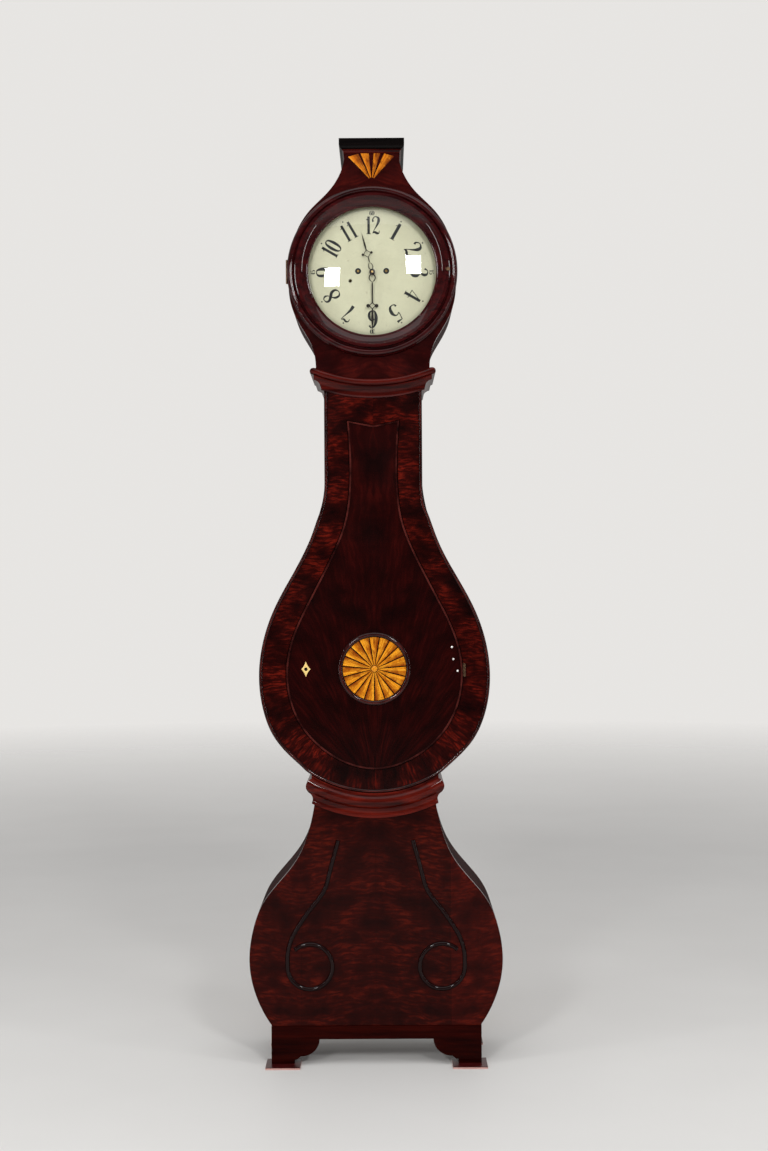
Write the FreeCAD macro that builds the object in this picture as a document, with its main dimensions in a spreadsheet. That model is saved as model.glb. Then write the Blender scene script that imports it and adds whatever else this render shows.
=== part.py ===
import FreeCAD, Part
import math
import os
from types import SimpleNamespace

from FreeCAD import Placement, Rotation, Vector

# A pear-bodied longcase clock with a slide-off hood, a curved base and a weight-driven movement.
# Millimetres, +Z up, front towards -Y, origin on the floor in the middle of the bounding box.

# Driving dimensions, by group
CASE = {
    "case_depth": 230.0,
    "front_reach": 34.0,
    "front_board": 16.0,
    "side_wall": 12.0,
    "back_board": 10.0,
}
PLINTH = {
    "pad_height": 5.0,
    "pad_width": 78.0,
    "pad_depth": 72.0,
    "pad_overhang": 12.0,
    "plinth_height": 90.0,
    "plinth_half": 238.0,
    "plinth_step": 1.5,
    "plinth_proud": 3.0,
    "plinth_rail": 24.0,
    "plinth_rail_height": 30.0,
    "foot_column": 52.0,
    "foot_bracket": 57.0,
    "foot_board": 16.0,
    "rear_foot": 44.0,
    "floor_board": 10.0,
}
BASE = {
    "base_half": 287.0,
    "base_rise": 500.0,
    "waist_half": 138.0,
    "waist_lift": 27.0,
    "waist_radius": 268.5,
    "saddle_height": 56.0,
    "saddle_reach": 18.5,
    "scroll_bead": 10.0,
    "scroll_ring_radius": 51.0,
    "scroll_ring_reach": 150.0,
    "scroll_ring_lift": 134.0,
    "scroll_head_room": 80.0,
}
TRUNK = {
    "trunk_half": 262.0,
    "neck_half": 111.0,
    "trunk_rise": 664.8,
    "neck_length": 219.0,
    "trunk_bead": 8.0,
    "throat_height": 26.0,
    "throat_reach": 12.0,
    "throat_side_reach": 27.0,
    "seat_drop": 109.0,
    "seat_board": 16.0,
    "seat_front": 32.0,
    "seat_depth": 116.0,
}
DOOR = {
    "door_half": 200.0,
    "door_lift": 54.0,
    "door_head": 78.0,
    "door_notch": 11.0,
    "door_gap": 1.8,
    "door_bead": 4.0,
    "door_bead_height": 2.5,
    "medallion_share": 0.288,
    "medallion_disc": 71.7,
    "medallion_ring": 11.8,
    "medallion_ring_height": 5.0,
    "medallion_button": 7.5,
    "button_height": 2.0,
    "ray_count": 19.0,
    "ray_gap": 1.0,
    "ray_thickness": 0.8,
    "escutcheon_inset": 44.5,
    "escutcheon_height": 36.0,
    "escutcheon_width": 21.0,
    "escutcheon_thickness": 1.2,
    "keyhole_radius": 4.0,
    "key_post_radius": 1.6,
    "lock_width": 46.0,
    "lock_height": 60.0,
    "lock_depth": 13.0,
    "bolt_height": 9.0,
    "bolt_thickness": 5.0,
    "bolt_length": 36.0,
    "bolt_setback": 1.0,
    "door_pin_aside": 3.9,
    "door_pin_share": 0.2836,
    "door_pin_forward": 4.0,
    "door_pin_radius": 1.5,
    "door_knuckle": 3.2,
    "door_hinge_length": 30.0,
    "door_leaf": 0.6,
    "door_leaf_back_width": 32.0,
    "door_leaf_upper_width": 20.0,
    "door_leaf_back_height": 76.0,
    "nail_radius": 1.6,
}
HOOD = {
    "hood_rise": 537.0,
    "hood_step": 18.5,
    "hood_top_half": 62.0,
    "hood_wall": 10.0,
    "hood_split_radius": 364.0,
    "hood_bead_height": 16.0,
    "hood_bead_reach": 13.0,
    "hood_clearance": 0.5,
    "ear_clearance": 1.0,
    "cap_height": 24.0,
    "cap_lap": 12.0,
    "cap_overhang": 10.0,
    "cap_round": 10.5,
    "fan_apex_drop": 72.0,
    "fan_radius": 65.6,
    "fan_top_radius": 151.0,
    "fan_inner": 9.0,
    "fan_thickness": 0.6,
}
BEZEL = {
    "dial_share": 0.4842,
    "bezel_opening": 145.0,
    "bezel_width": 48.0,
    "bezel_proud": 3.0,
    "hole_margin": 7.0,
    "bezel_depth": 26.0,
    "bezel_gap": 1.5,
    "glass_rebate": 5.0,
    "glass_thickness": 2.0,
    "glass_rise": 17.0,
    "glass_seat": 6.0,
    "bezel_pin_aside": 0.5,
    "bezel_pin_forward": 2.7,
    "bezel_pin_radius": 1.0,
    "bezel_knuckle": 2.2,
    "bezel_hinge_length": 54.0,
    "bezel_leaf": 0.5,
    "bezel_leaf_width": 16.0,
    "latch_share": 0.5417,
    "latch_knob": 5.0,
    "latch_knob_height": 6.0,
    "latch_shaft": 2.0,
    "latch_tongue": 14.0,
    "latch_tongue_width": 5.0,
    "latch_tongue_thickness": 2.5,
}
DIAL = {
    "dial_clearance": 2.0,
    "dial_thickness": 1.2,
    "dial_inset": 8.0,
    "winding_hole": 6.0,
    "winding_reach": 32.0,
    "winding_rise": 3.0,
    "small_hole": 4.0,
    "small_hole_reach": 50.0,
    "small_hole_drop": 19.0,
    "dial_foot": 3.0,
    "hour_hand_share": 0.686,
    "minute_hand_gap": 8.0,
    "hand_thickness": 1.0,
    "hour_hand_step": 4.5,
    "minute_hand_step": 9.0,
    "hand_boss": 6.5,
}
MOVEMENT = {
    "plate_front_setback": 46.0,
    "plate_gap": 89.0,
    "plate_thickness": 3.0,
    "plate_half": 70.0,
    "plate_margin": 14.0,
    "pillar_radius": 5.0,
    "pivot_radius": 1.5,
    "pivot_clearance": 0.05,
    "arbor_radius": 2.5,
    "wheel_thickness": 3.0,
    "pinion_overhang": 1.0,
    "great_wheel_setback": 5.0,
    "centre_wheel_setback": 14.5,
    "third_wheel_setback": 22.0,
    "escape_wheel_setback": 30.0,
    "drum_setback": 37.0,
    "drum_length": 46.0,
    "drum_radius": 14.7,
    "drum_lip": 2.8,
    "line_gap": 0.3,
    "line_radius": 1.0,
    "pallet_rise": 77.0,
    "pallet_clearance": 2.0,
    "crutch_gap": 1.0,
    "fly_length": 26.0,
    "fly_half": 17.0,
    "fly_thickness": 0.8,
    "bell_radius": 38.0,
    "bell_height": 28.0,
    "bell_wall": 2.0,
    "bell_lift": 17.0,
    "bell_reach": 20.0,
    "hammer_head": 5.0,
    "hammer_head_length": 14.0,
    "hammer_gap": 2.0,
}
DRIVE = {
    "pendulum_swing": 3.0,
    "pendulum_setback": 15.5,
    "pendulum_length": 996.0,
    "rod_radius": 2.0,
    "rod_tail": 24.0,
    "strip_thickness": 0.3,
    "strip_width": 8.0,
    "strip_length": 14.0,
    "chop_overhang": 1.0,
    "bob_radius": 60.0,
    "bob_thickness": 22.0,
    "rating_nut": 6.0,
    "rating_nut_height": 8.0,
    "fork_clearance": 0.4,
    "crutch_length": 82.0,
    "weight_radius": 26.0,
    "weight_height": 200.0,
    "weight_bottom": 330.0,
    "weight_hook": 5.0,
}
GROUPS = {
    "Case": CASE, "Plinth": PLINTH, "Base": BASE, "Trunk": TRUNK, "Door": DOOR, "Hood": HOOD,
    "Bezel": BEZEL, "Dial": DIAL, "Movement": MOVEMENT, "Drive": DRIVE,
}

# Sizes and levels that follow from the driving ones, as formulas
FORMULAS = {
    "front_y": "(front_reach - case_depth) / 2",
    "back_y": "(front_reach + case_depth) / 2",
    "board_back_y": "front_y + front_board",
    "base_foot_half": "plinth_half - plinth_step",
    "base_curve_top": "plinth_height + base_rise",
    "scroll_ring_height": "plinth_height + scroll_ring_lift",
    "scroll_stem_height": "base_curve_top - scroll_head_room - scroll_ring_height",
    "waist_centre_height": "base_curve_top + waist_lift",
    "waist_axis_z": "waist_centre_height + waist_radius",
    "waist_z": "waist_axis_z - sqrt(waist_radius ^ 2 - waist_half ^ 2)",
    "neck_start": "waist_z + trunk_rise",
    "hood_split_height": "neck_start + neck_length",
    "split_axis_z": "hood_split_height + hood_split_radius",
    "hood_foot_half": "neck_half + hood_step",
    "cap_z": "hood_split_height + hood_rise",
    "cap_half": "hood_top_half + cap_lap",
    "door_bottom": "waist_centre_height + door_lift",
    "door_rise": "hood_split_height - door_head - door_bottom",
    "medallion_height": "door_bottom + medallion_share * door_rise",
    "escutcheon_reach": "door_half - escutcheon_inset",
    "door_pin_reach": "door_half + door_pin_aside",
    "door_pin_height": "door_bottom + door_pin_share * door_rise",
    "dial_height": "hood_split_height + dial_share * hood_rise",
    "bezel_radius": "bezel_opening + bezel_width",
    "hood_half": "bezel_radius - bezel_proud",
    "hood_hole": "bezel_opening + hole_margin",
    "glass_radius": "bezel_opening + glass_rebate",
    "bezel_pin_reach": "bezel_radius + bezel_pin_aside",
    "latch_reach": "bezel_opening + latch_share * bezel_width",
    "dial_radius": "hood_hole - dial_clearance",
    "minute_hand_length": "bezel_opening - minute_hand_gap",
    "hour_hand_length": "hour_hand_share * minute_hand_length",
    "seat_height": "dial_height - seat_drop",
    "cheek_top": "seat_height - seat_board",
    "pallet_z": "dial_height + pallet_rise",
    "plate_top": "pallet_z + plate_margin",
    "winding_z": "dial_height + winding_rise",
    "drum_flange": "drum_radius + drum_lip",
    "line_offset": "drum_radius + line_radius + line_gap",
    "plate_front_y": "front_y + plate_front_setback",
    "plate_inner_y": "plate_front_y + plate_thickness",
    "back_plate_y": "plate_inner_y + plate_gap",
    "plate_back_y": "back_plate_y + plate_thickness",
    "drum_y": "plate_inner_y + drum_setback",
    "line_y": "drum_y + drum_length / 2",
    "rod_y": "plate_back_y + pendulum_setback",
    "rod_end": "pendulum_length + bob_radius + rod_tail",
    "bob_z": "pallet_z - pendulum_length",
    "dial_front_y": "front_y + dial_inset",
    "motion_y": "plate_front_y - 2 * wheel_thickness",
}

# Wheel teeth
GREAT_TEETH = 80
CENTRE_PINION_LEAVES = 8
CENTRE_TEETH = 64
THIRD_PINION_LEAVES = 8
THIRD_TEETH = 60
ESCAPE_PINION_LEAVES = 8
ESCAPE_TEETH = 30
CANNON_TEETH = 28
MINUTE_PINION_LEAVES = 6
HOUR_TEETH = 72
STRIKE_GREAT_TEETH = 72
PIN_WHEEL_PINION_LEAVES = 8
PIN_WHEEL_TEETH = 56
FLY_PINION_LEAVES = 7
STRIKE_PINS = 8

# Outlines as shares: (height share from the foot of the curve, half-width share)
BASE_SHARES = [(0.114, 0.934), (0.277, 1.0), (0.442, 0.968), (0.55, 0.897), (0.66, 0.749),
               (0.768, 0.607), (0.878, 0.529)]
TRUNK_SHARES = [(0.036, 0.641), (0.117, 0.841), (0.2195, 0.96), (0.332, 1.0), (0.445, 0.972),
                (0.568, 0.87), (0.691, 0.702), (0.813, 0.546), (0.896, 0.47)]
DOOR_SHARES = [(1.0, 0.295), (0.92, 0.274), (0.809, 0.275), (0.714, 0.325), (0.61, 0.485),
               (0.486, 0.735), (0.357, 0.955), (0.271, 1.0), (0.144, 0.88), (0.038, 0.485)]
HOOD_SHARES = [(0.102, 0.6816), (0.17, 0.722), (0.24, 0.83), (0.295, 0.916), (0.35, 0.972),
               (0.46, 1.0), (0.56, 0.975), (0.664, 0.89), (0.745, 0.742), (0.825, 0.516),
               (0.905, 0.372)]

# Mouldings as shares: (step, reach share, drop share, ...) from the top down
SADDLE_SHARES = [("line", 0.3, 0.0), ("line", 0.3, 0.05), ("arc", 1.0, 0.33, 0.48, 0.6),
                 ("arc", 0.2, 0.75, 0.28, 0.92), ("line", 0.28, 1.0), ("line", 0.0, 1.0)]
THROAT_SHARES = [("line", 0.85, 0.0), ("line", 0.85, 0.08), ("arc", 0.35, 0.42, 0.22, 0.86),
                 ("line", 0.3, 1.0), ("line", 0.0, 1.0)]
HOOD_BEAD_SHARES = [("line", 0.0, 0.0), ("line", 0.3, 0.0), ("arc", 1.0, 0.5, 0.45, 0.96),
                    ("line", 0.45, 1.0), ("line", 0.0, 1.0)]

# The bezel's section as shares: (width share from the opening, depth share from its back)
BEZEL_SHARES = {
    "lip_front": (0.0, 0.42), "lip_middle": (0.05, 0.52), "lip_end": (0.1, 0.46),
    "slope_middle": (0.27, 0.62), "ridge": (0.485, 0.97), "ridge_end": (0.6, 0.97),
    "quirk": (0.635, 0.52), "bead": (0.67, 0.52), "bead_middle": (0.82, 0.78), "bead_end": (0.96, 0.4),
    "edge": (1.0, 0.3),
}

# Bracket feet as shares of the bracket's length and the foot's height
FOOT_SHARES = {"bulge": (0.19, 0.53), "shoulder": (0.66, 0.31), "step": (0.76, 0.31), "toe_height": 0.16,
               "toe_sag": 0.04}

# Places along pieces, as shares of their sizes
STEM_SHARES = [(0.565, 1.0), (0.693, 0.752), (0.79, 0.594), (0.97, 0.469), (1.147, 0.339),
               (1.27, 0.227), (1.335, 0.105)]
NAIL_SHARES = [(0.36, 0.17), (0.66, 0.52), (0.75, 0.88)]
BELL_SHARES = [(1.0, 0.0), (0.93, 0.35), (0.7, 0.82), (0.0, 1.0)]
HOUR_HAND_SHARES = {"loop": 0.27, "boss": 0.46, "boss_half": 0.1, "tip_half": 0.022, "leaf": 0.3}
MINUTE_HAND_SHARES = {"loop": 0.2, "boss": 0.565, "boss_half": 0.062, "tip_half": 0.024, "leaf": 0.45}
LOOP_SHARES = [(0.8, 0.16), (1.0, 0.42), (0.5, 0.76)]
FAN_ANGLES = [(-43.9, -25.6), (-22.4, -5.6), (4.6, 17.4), (24.4, 42.5)]
SCROLL_END_ANGLE = 132
ESCUTCHEON_WAIST_SHARE = 0.42
HAMMER_SHARES = (0.87, 0.28)
ESCAPE_REACH_SHARE = 0.62
ESCAPE_ROOT_SHARE = 0.86
CRUTCH_TOP_SHARE = 0.8
PIN_CIRCLE_SHARE = 0.34
MODULE_SHARES = (0.96, 0.9, 1.37)
WEIGHT_SHOULDER_SHARE = 0.12
WEIGHT_KNEE_SHARES = (0.72, 0.7)

doc = FreeCAD.newDocument("LongcaseClock")
sheet = doc.addObject("Spreadsheet::Sheet", "Sizes")


def fill_sheet():
    """Write every size into the sheet, one named cell each, and read them all back."""
    groups = {**GROUPS, "Formulas": {name: f"={formula}" for name, formula in FORMULAS.items()}}
    row = 1
    for title, group in groups.items():
        sheet.set(f"A{row}", title)
        row += 1
        for name, value in group.items():
            sheet.set(f"A{row}", name)
            sheet.set(f"B{row}", str(value))
            sheet.setAlias(f"B{row}", name)
            row += 1
    doc.recompute()
    return SimpleNamespace(**{name: float(sheet.get(name)) for group in groups.values() for name in group})


s = fill_sheet()
FRONT = "Sizes.front_y"
BACK = "Sizes.back_y"
nodes = []


def keep(thing, label):
    """Name an object as a sub-part."""
    thing.Label = label
    nodes.append(thing)
    return thing


def bind(thing, **expressions):
    """Bind properties to the sheet; x, y and z stand for the placement's base."""
    for name, expression in expressions.items():
        path = f"Placement.Base.{name}" if name in ("x", "y", "z") else name
        thing.setExpression(path, expression)
    return thing


def feature(label, shape):
    """Keep a shape that is built with Part's own functions."""
    thing = doc.addObject("Part::Feature", label)
    thing.Shape = shape
    return keep(thing, label)


def cut_from(label, tool):
    """Replace a sub-part by itself less a tool."""
    blank = next(thing for thing in nodes if thing.Label == label)
    nodes.remove(blank)
    blank.Label = f"{label}_blank"
    cut = doc.addObject("Part::Cut", f"{label}_cut")
    cut.Base = blank
    cut.Tool = tool
    keep(cut, label)


# Sketches and bodies

def plane_of(body, role):
    return next(item for item in body.Origin.OriginFeatures if item.Role == role)


def sketch_on(body, name, role, curves):
    """A sketch of ready curves on one of the body's own planes."""
    sketch = body.newObject("Sketcher::SketchObject", name)
    sketch.AttachmentSupport = [(plane_of(body, role), "")]
    sketch.MapMode = "FlatFace"
    for curve in curves:
        sketch.addGeometry(curve, False)
    return sketch


def board(label, curves, back_plane, thickness):
    """An upright board: its outline on XZ, padded forwards from the plane behind it."""
    body = doc.addObject("PartDesign::Body", label)
    sketch = sketch_on(body, label + "_outline", "XZ_Plane", curves)
    pad = body.newObject("PartDesign::Pad", label + "_pad")
    pad.Profile = sketch
    bind(pad, Length=thickness)
    bind(body, y=back_plane)
    return keep(body, label)


def turned(label, curves, middle_y, middle_z, middle_x="0"):
    """A turned piece: its half profile on XY, revolved about its own Y axis."""
    body = doc.addObject("PartDesign::Body", label)
    sketch = sketch_on(body, label + "_profile", "XY_Plane", curves)
    turn = body.newObject("PartDesign::Revolution", label + "_turning")
    turn.Profile = sketch
    turn.ReferenceAxis = (sketch, ["V_Axis"])
    turn.Angle = 360
    body.Placement = Placement(Vector(), Rotation(Vector(0, 1, 0), -90))
    bind(body, x=middle_x, y=middle_y, z=middle_z)
    return keep(body, label)


def line(a, b):
    return Part.LineSegment(Vector(*a, 0), Vector(*b, 0))


def arc(a, b, c):
    return Part.Arc(Vector(*a, 0), Vector(*b, 0), Vector(*c, 0))


def dome_height(rim, rise, reach):
    """Height over its rim, at a reach from its axis, of a round dome."""
    radius = (rim ** 2 + rise ** 2) / (2 * rise)
    return rise - radius + math.sqrt(radius ** 2 - reach ** 2)


def path_lines(points, closed=True):
    """Straight curves from point to point."""
    ends = points[1:] + points[:1] if closed else points[1:]
    return [line(a, b) for a, b in zip(points, ends)]


def spline(points, start=None, end=None):
    """A smooth curve through the points, with both end directions or neither."""
    curve = Part.BSplineCurve()
    places = [Vector(*point, 0) for point in points]
    if start is None:
        curve.interpolate(Points=places)
    else:
        curve.interpolate(Points=places, InitialTangent=Vector(*start, 0), FinalTangent=Vector(*end, 0))
    return curve


def mirrored(points):
    return [(-x, z) for x, z in points]


def pushed_out(points, distance, start=None, end=None):
    """The points moved square to their smooth curve, to its left when distance is positive."""
    curve = spline(points, start, end)
    moved = []
    for x, z in points:
        tangent = curve.tangent(curve.parameter(Vector(x, z, 0)))[0]
        moved.append((x - tangent.y * distance, z + tangent.x * distance))
    return moved


# Outlines of the case on XZ

def waist_arc_z(x, inset=0.0):
    return s.waist_axis_z - math.sqrt((s.waist_radius - inset) ** 2 - x ** 2)


def split_arc_z(x, drop=0.0):
    return s.split_axis_z - math.sqrt((s.hood_split_radius + drop) ** 2 - x ** 2)


def base_side(inset):
    """Right side of the base from the plinth up to the foot of the straight waist."""
    rise = s.base_curve_top - s.plinth_height
    middle = [(share * s.base_half - inset, s.plinth_height + height * rise)
              for height, share in BASE_SHARES]
    return ([(s.base_foot_half - inset, s.plinth_height)] + middle
            + [(s.waist_half - inset, s.base_curve_top)])


def trunk_side(inset):
    """Right side of the trunk from the waist to the foot of the straight neck."""
    rise = s.neck_start - s.waist_z
    middle = [(share * s.trunk_half - inset, s.waist_z + height * rise)
              for height, share in TRUNK_SHARES]
    return [(s.waist_half - inset, s.waist_z)] + middle + [(s.neck_half - inset, s.neck_start)]


waist_tangent = (s.waist_axis_z - s.waist_z, s.waist_half)
upright = (0, 1)


def hood_side(inset, foot_z):
    """Right side of the hood from a level near its foot up to the cap."""
    rise = s.cap_z - s.hood_split_height
    middle = [(share * s.hood_half - inset, s.hood_split_height + height * rise)
              for height, share in HOOD_SHARES]
    kept = [point for point in middle if point[1] > foot_z + s.hood_wall]
    return kept + [(s.hood_top_half - inset, s.cap_z)]


def full_hood_side(inset):
    foot = (s.hood_foot_half - inset, split_arc_z(s.hood_foot_half))
    return [foot] + hood_side(inset, foot[1])


def door_side():
    """Right edge of the door from its top corner down, without the bottom point."""
    return [(share * s.door_half, s.door_bottom + height * s.door_rise)
            for height, share in DOOR_SHARES]


def door_outline(grow):
    """The door's edge, grown outwards by a distance, as curves on XZ."""
    right = door_side()
    around = right + [(0, s.door_bottom)] + mirrored(right[::-1])
    moved = pushed_out(around, grow)
    notch = (0, s.door_bottom + s.door_rise - s.door_notch + grow)
    rise = grow
    start = (moved[0][0], moved[0][1] + rise)
    end = (moved[-1][0], moved[-1][1] + rise)
    moved = [start] + moved[1:-1] + [end]
    return [spline(moved), line(end, notch), line(notch, start)]


# Curved mouldings

def scaled(shares, reach, height):
    """A profile's steps from its shares of a reach and a height."""
    sizes = (reach, height)
    return [(step[0], *(share * sizes[index % 2] for index, share in enumerate(step[1:])))
            for step in shares]


def bow(profile, axis_z, radius, half, front, side_scale=1.0):
    """A moulding that sags along its arc in front and returns along both sides.

    profile holds ("line", reach, drop) and ("arc", reach, drop, reach, drop) steps from its top:
    reach outwards from the case, drop down from the arc of the given radius.
    """
    def edges(place):
        points = [place(*profile[0][1:])]
        made = []
        for step in profile[1:]:
            if step[0] == "line":
                target = place(*step[1:])
                made.append(Part.LineSegment(points[-1], target).toShape())
            else:
                middle, target = place(*step[1:3]), place(*step[3:])
                made.append(Part.Arc(points[-1], middle, target).toShape())
            points.append(target)
        return made, points[0], points[-1]

    def front_place(reach, drop):
        return Vector(0, front - reach, axis_z - radius - drop)

    def side_place(reach, drop):
        return Vector(half + reach * side_scale, 0, axis_z - math.sqrt((radius + drop) ** 2 - half ** 2))

    made, first, last = edges(front_place)
    behind_last = Vector(0, s.back_y, last.z)
    behind_first = Vector(0, s.back_y, first.z)
    made += [Part.LineSegment(last, behind_last).toShape(),
             Part.LineSegment(behind_last, behind_first).toShape(),
             Part.LineSegment(behind_first, first).toShape()]
    face = Part.Face(Part.Wire(Part.__sortEdges__(made)))
    reach_most = half + max(step[-2] for step in profile) * side_scale
    turn = math.degrees(math.asin(reach_most / radius)) * 1.2
    axis = Vector(0, 0, axis_z)
    face.rotate(axis, Vector(0, 1, 0), -turn)
    arch = face.revolve(axis, Vector(0, 1, 0), 2 * turn)

    made, first, last = edges(side_place)
    high, low = first.z + radius, last.z - radius
    corners = [first, Vector(first.x, 0, high), Vector(0, 0, high),
               Vector(0, 0, low), Vector(last.x, 0, low), last]
    made += [Part.LineSegment(a, b).toShape() for a, b in zip(corners, corners[1:]) if a != b]
    right = Part.Face(Part.Wire(Part.__sortEdges__(made)))
    right.translate(Vector(0, front - s.case_depth, 0))
    right = right.extrude(Vector(0, 3 * s.case_depth, 0))
    left = right.mirror(Vector(), Vector(1, 0, 0))
    solid = arch.common(right.fuse(left).removeSplitter())
    inner = Part.makeBox(2 * half, s.case_depth * 2, 4 * radius, Vector(-half, front, axis_z - 3 * radius))
    return solid.cut(inner).removeSplitter()


# Small solids

def post(radius, length, x, y, z, direction=Vector(0, 1, 0)):
    return Part.makeCylinder(radius, length, Vector(x, y, z), direction)


def block(x0, x1, y0, y1, z0, z1):
    return Part.makeBox(x1 - x0, y1 - y0, z1 - z0, Vector(x0, y0, z0))


def fused(shapes):
    whole = shapes[0]
    for shape in shapes[1:]:
        whole = whole.fuse(shape)
    return whole.removeSplitter()


def plate_of(points, y, thickness):
    """A flat plate from corner points on XZ."""
    corners = [Vector(x, y, z) for x, z in points]
    face = Part.Face(Part.makePolygon(corners + corners[:1]))
    return face.extrude(Vector(0, thickness, 0))


def gear(teeth, module, x, z, y, thickness, phase=0.0):
    """A toothed disc on Y. phase turns it by a share of one tooth."""
    root_share, tip_share = 0.25, 0.1
    addendum_share, dedendum_share = 0.55, 0.8
    pitch = 2 * math.pi / teeth
    tip = module * (teeth / 2 + addendum_share)
    root = module * (teeth / 2 - dedendum_share)
    points = []
    for tooth in range(teeth):
        middle = (tooth + phase) * pitch
        for share, radius in ((-root_share, root), (-tip_share, tip), (tip_share, tip), (root_share, root)):
            angle = middle + share * pitch
            points.append((x + radius * math.sin(angle), z + radius * math.cos(angle)))
    return plate_of(points, y, thickness)


def mesh_phase(teeth, bearing, touching):
    """Phase that puts a tooth, or a gap when touching is False, towards a bearing from +Z."""
    turn = bearing / (2 * math.pi) * teeth
    return turn - math.floor(turn) + (0.0 if touching else 0.5)


def half_round(path, radius, y):
    """A half-round bead that lies on the plane y along a path on it, towards the front."""
    start = path.OrderedEdges[0]
    first = start.valueAt(start.FirstParameter)
    tangent = start.tangentAt(start.FirstParameter)
    ring = Part.Wire(Part.makeCircle(radius, first, tangent))
    tube = path.makePipeShell([ring], True, False)
    box = tube.BoundBox
    room = block(box.XMin - radius, box.XMax + radius, y - 2 * radius, y, box.ZMin - radius,
                 box.ZMax + radius)
    return tube.common(room)


def on_plane(curves, y):
    """Curves drawn on XY turned up onto the XZ plane at y, as one wire."""
    wire = Part.Wire(Part.__sortEdges__([curve.toShape() for curve in curves]))
    wire.rotate(Vector(), Vector(1, 0, 0), 90)
    wire.translate(Vector(0, y, 0))
    return wire


def mirror_x(shape):
    return shape.mirror(Vector(), Vector(1, 0, 0))


# Plinth, feet and pads

def make_plinth():
    rail = "Sizes.plinth_rail"
    lift = "Sizes.plinth_height - Sizes.plinth_rail_height"
    apron = doc.addObject("Part::Box", "apron")
    bind(apron, Length="2 * Sizes.plinth_half", Width=rail, Height="Sizes.plinth_rail_height",
         x="-Sizes.plinth_half", y=f"{FRONT} - Sizes.plinth_proud", z=lift)
    rails = [apron]
    for name, x in (("left", "-Sizes.plinth_half"), ("right", f"Sizes.plinth_half - {rail}")):
        side = doc.addObject("Part::Box", f"plinth_{name}")
        bind(side, Length=rail, Width=f"Sizes.case_depth - {rail} + Sizes.plinth_proud",
             Height="Sizes.plinth_rail_height", x=x, y=f"{FRONT} - Sizes.plinth_proud + {rail}", z=lift)
        rails.append(side)
    floor = doc.addObject("Part::Box", "floor_board")
    half = "(Sizes.base_foot_half - Sizes.side_wall - Sizes.hood_clearance)"
    bind(floor, Length=f"2 * {half}",
         Width="Sizes.case_depth - Sizes.front_board - Sizes.back_board", Height="Sizes.floor_board",
         x=f"-{half}", y=f"{FRONT} + Sizes.front_board", z="Sizes.plinth_height")
    group = doc.addObject("Part::Compound", "plinth_frame")
    group.Links = rails + [floor]
    keep(group, "plinth_frame")


def bracket_outline():
    """The front face of a right-hand bracket foot, from its outer edge inwards, as curves."""
    top = s.plinth_height - s.plinth_rail_height
    bottom = s.pad_height
    tall = top - bottom
    outer = s.plinth_half
    inner = outer - s.foot_column
    reach = inner - s.foot_bracket
    bulge, shoulder, step = [(reach + across * s.foot_bracket, bottom + up * tall) for across, up in
                             (FOOT_SHARES[name] for name in ("bulge", "shoulder", "step"))]
    toe = (inner, bottom + FOOT_SHARES["toe_height"] * tall)
    sag = ((step[0] + inner) / 2, (step[1] + toe[1]) / 2 - FOOT_SHARES["toe_sag"] * tall)
    corners = [toe, (inner, bottom), (outer, bottom), (outer, top), (reach, top)]
    return path_lines(corners, closed=False) + [
        arc((reach, top), bulge, shoulder), line(shoulder, step), arc(step, sag, toe),
    ]


def make_feet():
    front = s.front_y - s.plinth_proud
    face = Part.Face(on_plane(bracket_outline(), front))
    forward = face.extrude(Vector(0, s.foot_board, 0))
    beside = Part.Face(on_plane(bracket_outline(), 0))
    beside.rotate(Vector(s.plinth_half, 0, 0), Vector(0, 0, 1), -90)
    beside.translate(Vector(0, front, 0))
    sideways = beside.extrude(Vector(-s.foot_board, 0, 0))
    right = fused([forward, sideways])
    top = s.plinth_height - s.plinth_rail_height
    rear = block(s.plinth_half - s.rear_foot, s.plinth_half, s.back_y - s.rear_foot, s.back_y,
                 s.pad_height, top)
    feature("feet", Part.makeCompound([right, mirror_x(right), rear, mirror_x(rear)]))


def make_pads():
    """Loose protective pads; the front pair stands out before the feet."""
    pads = []
    for side in (-1, 1):
        for name, y in (("front", f"{FRONT} - Sizes.front_reach"), ("rear", f"{BACK} - Sizes.pad_depth")):
            pad = doc.addObject("Part::Box", f"pad_{name}_{'left' if side < 0 else 'right'}")
            x = "Sizes.plinth_half - Sizes.pad_width + Sizes.pad_overhang"
            if side < 0:
                x = "-Sizes.plinth_half - Sizes.pad_overhang"
            bind(pad, Length="Sizes.pad_width", Width="Sizes.pad_depth", Height="Sizes.pad_height", x=x, y=y)
            pads.append(pad)
    group = doc.addObject("Part::Compound", "foot_pads")
    group.Links = pads
    keep(group, "foot_pads")


# Base

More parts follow.
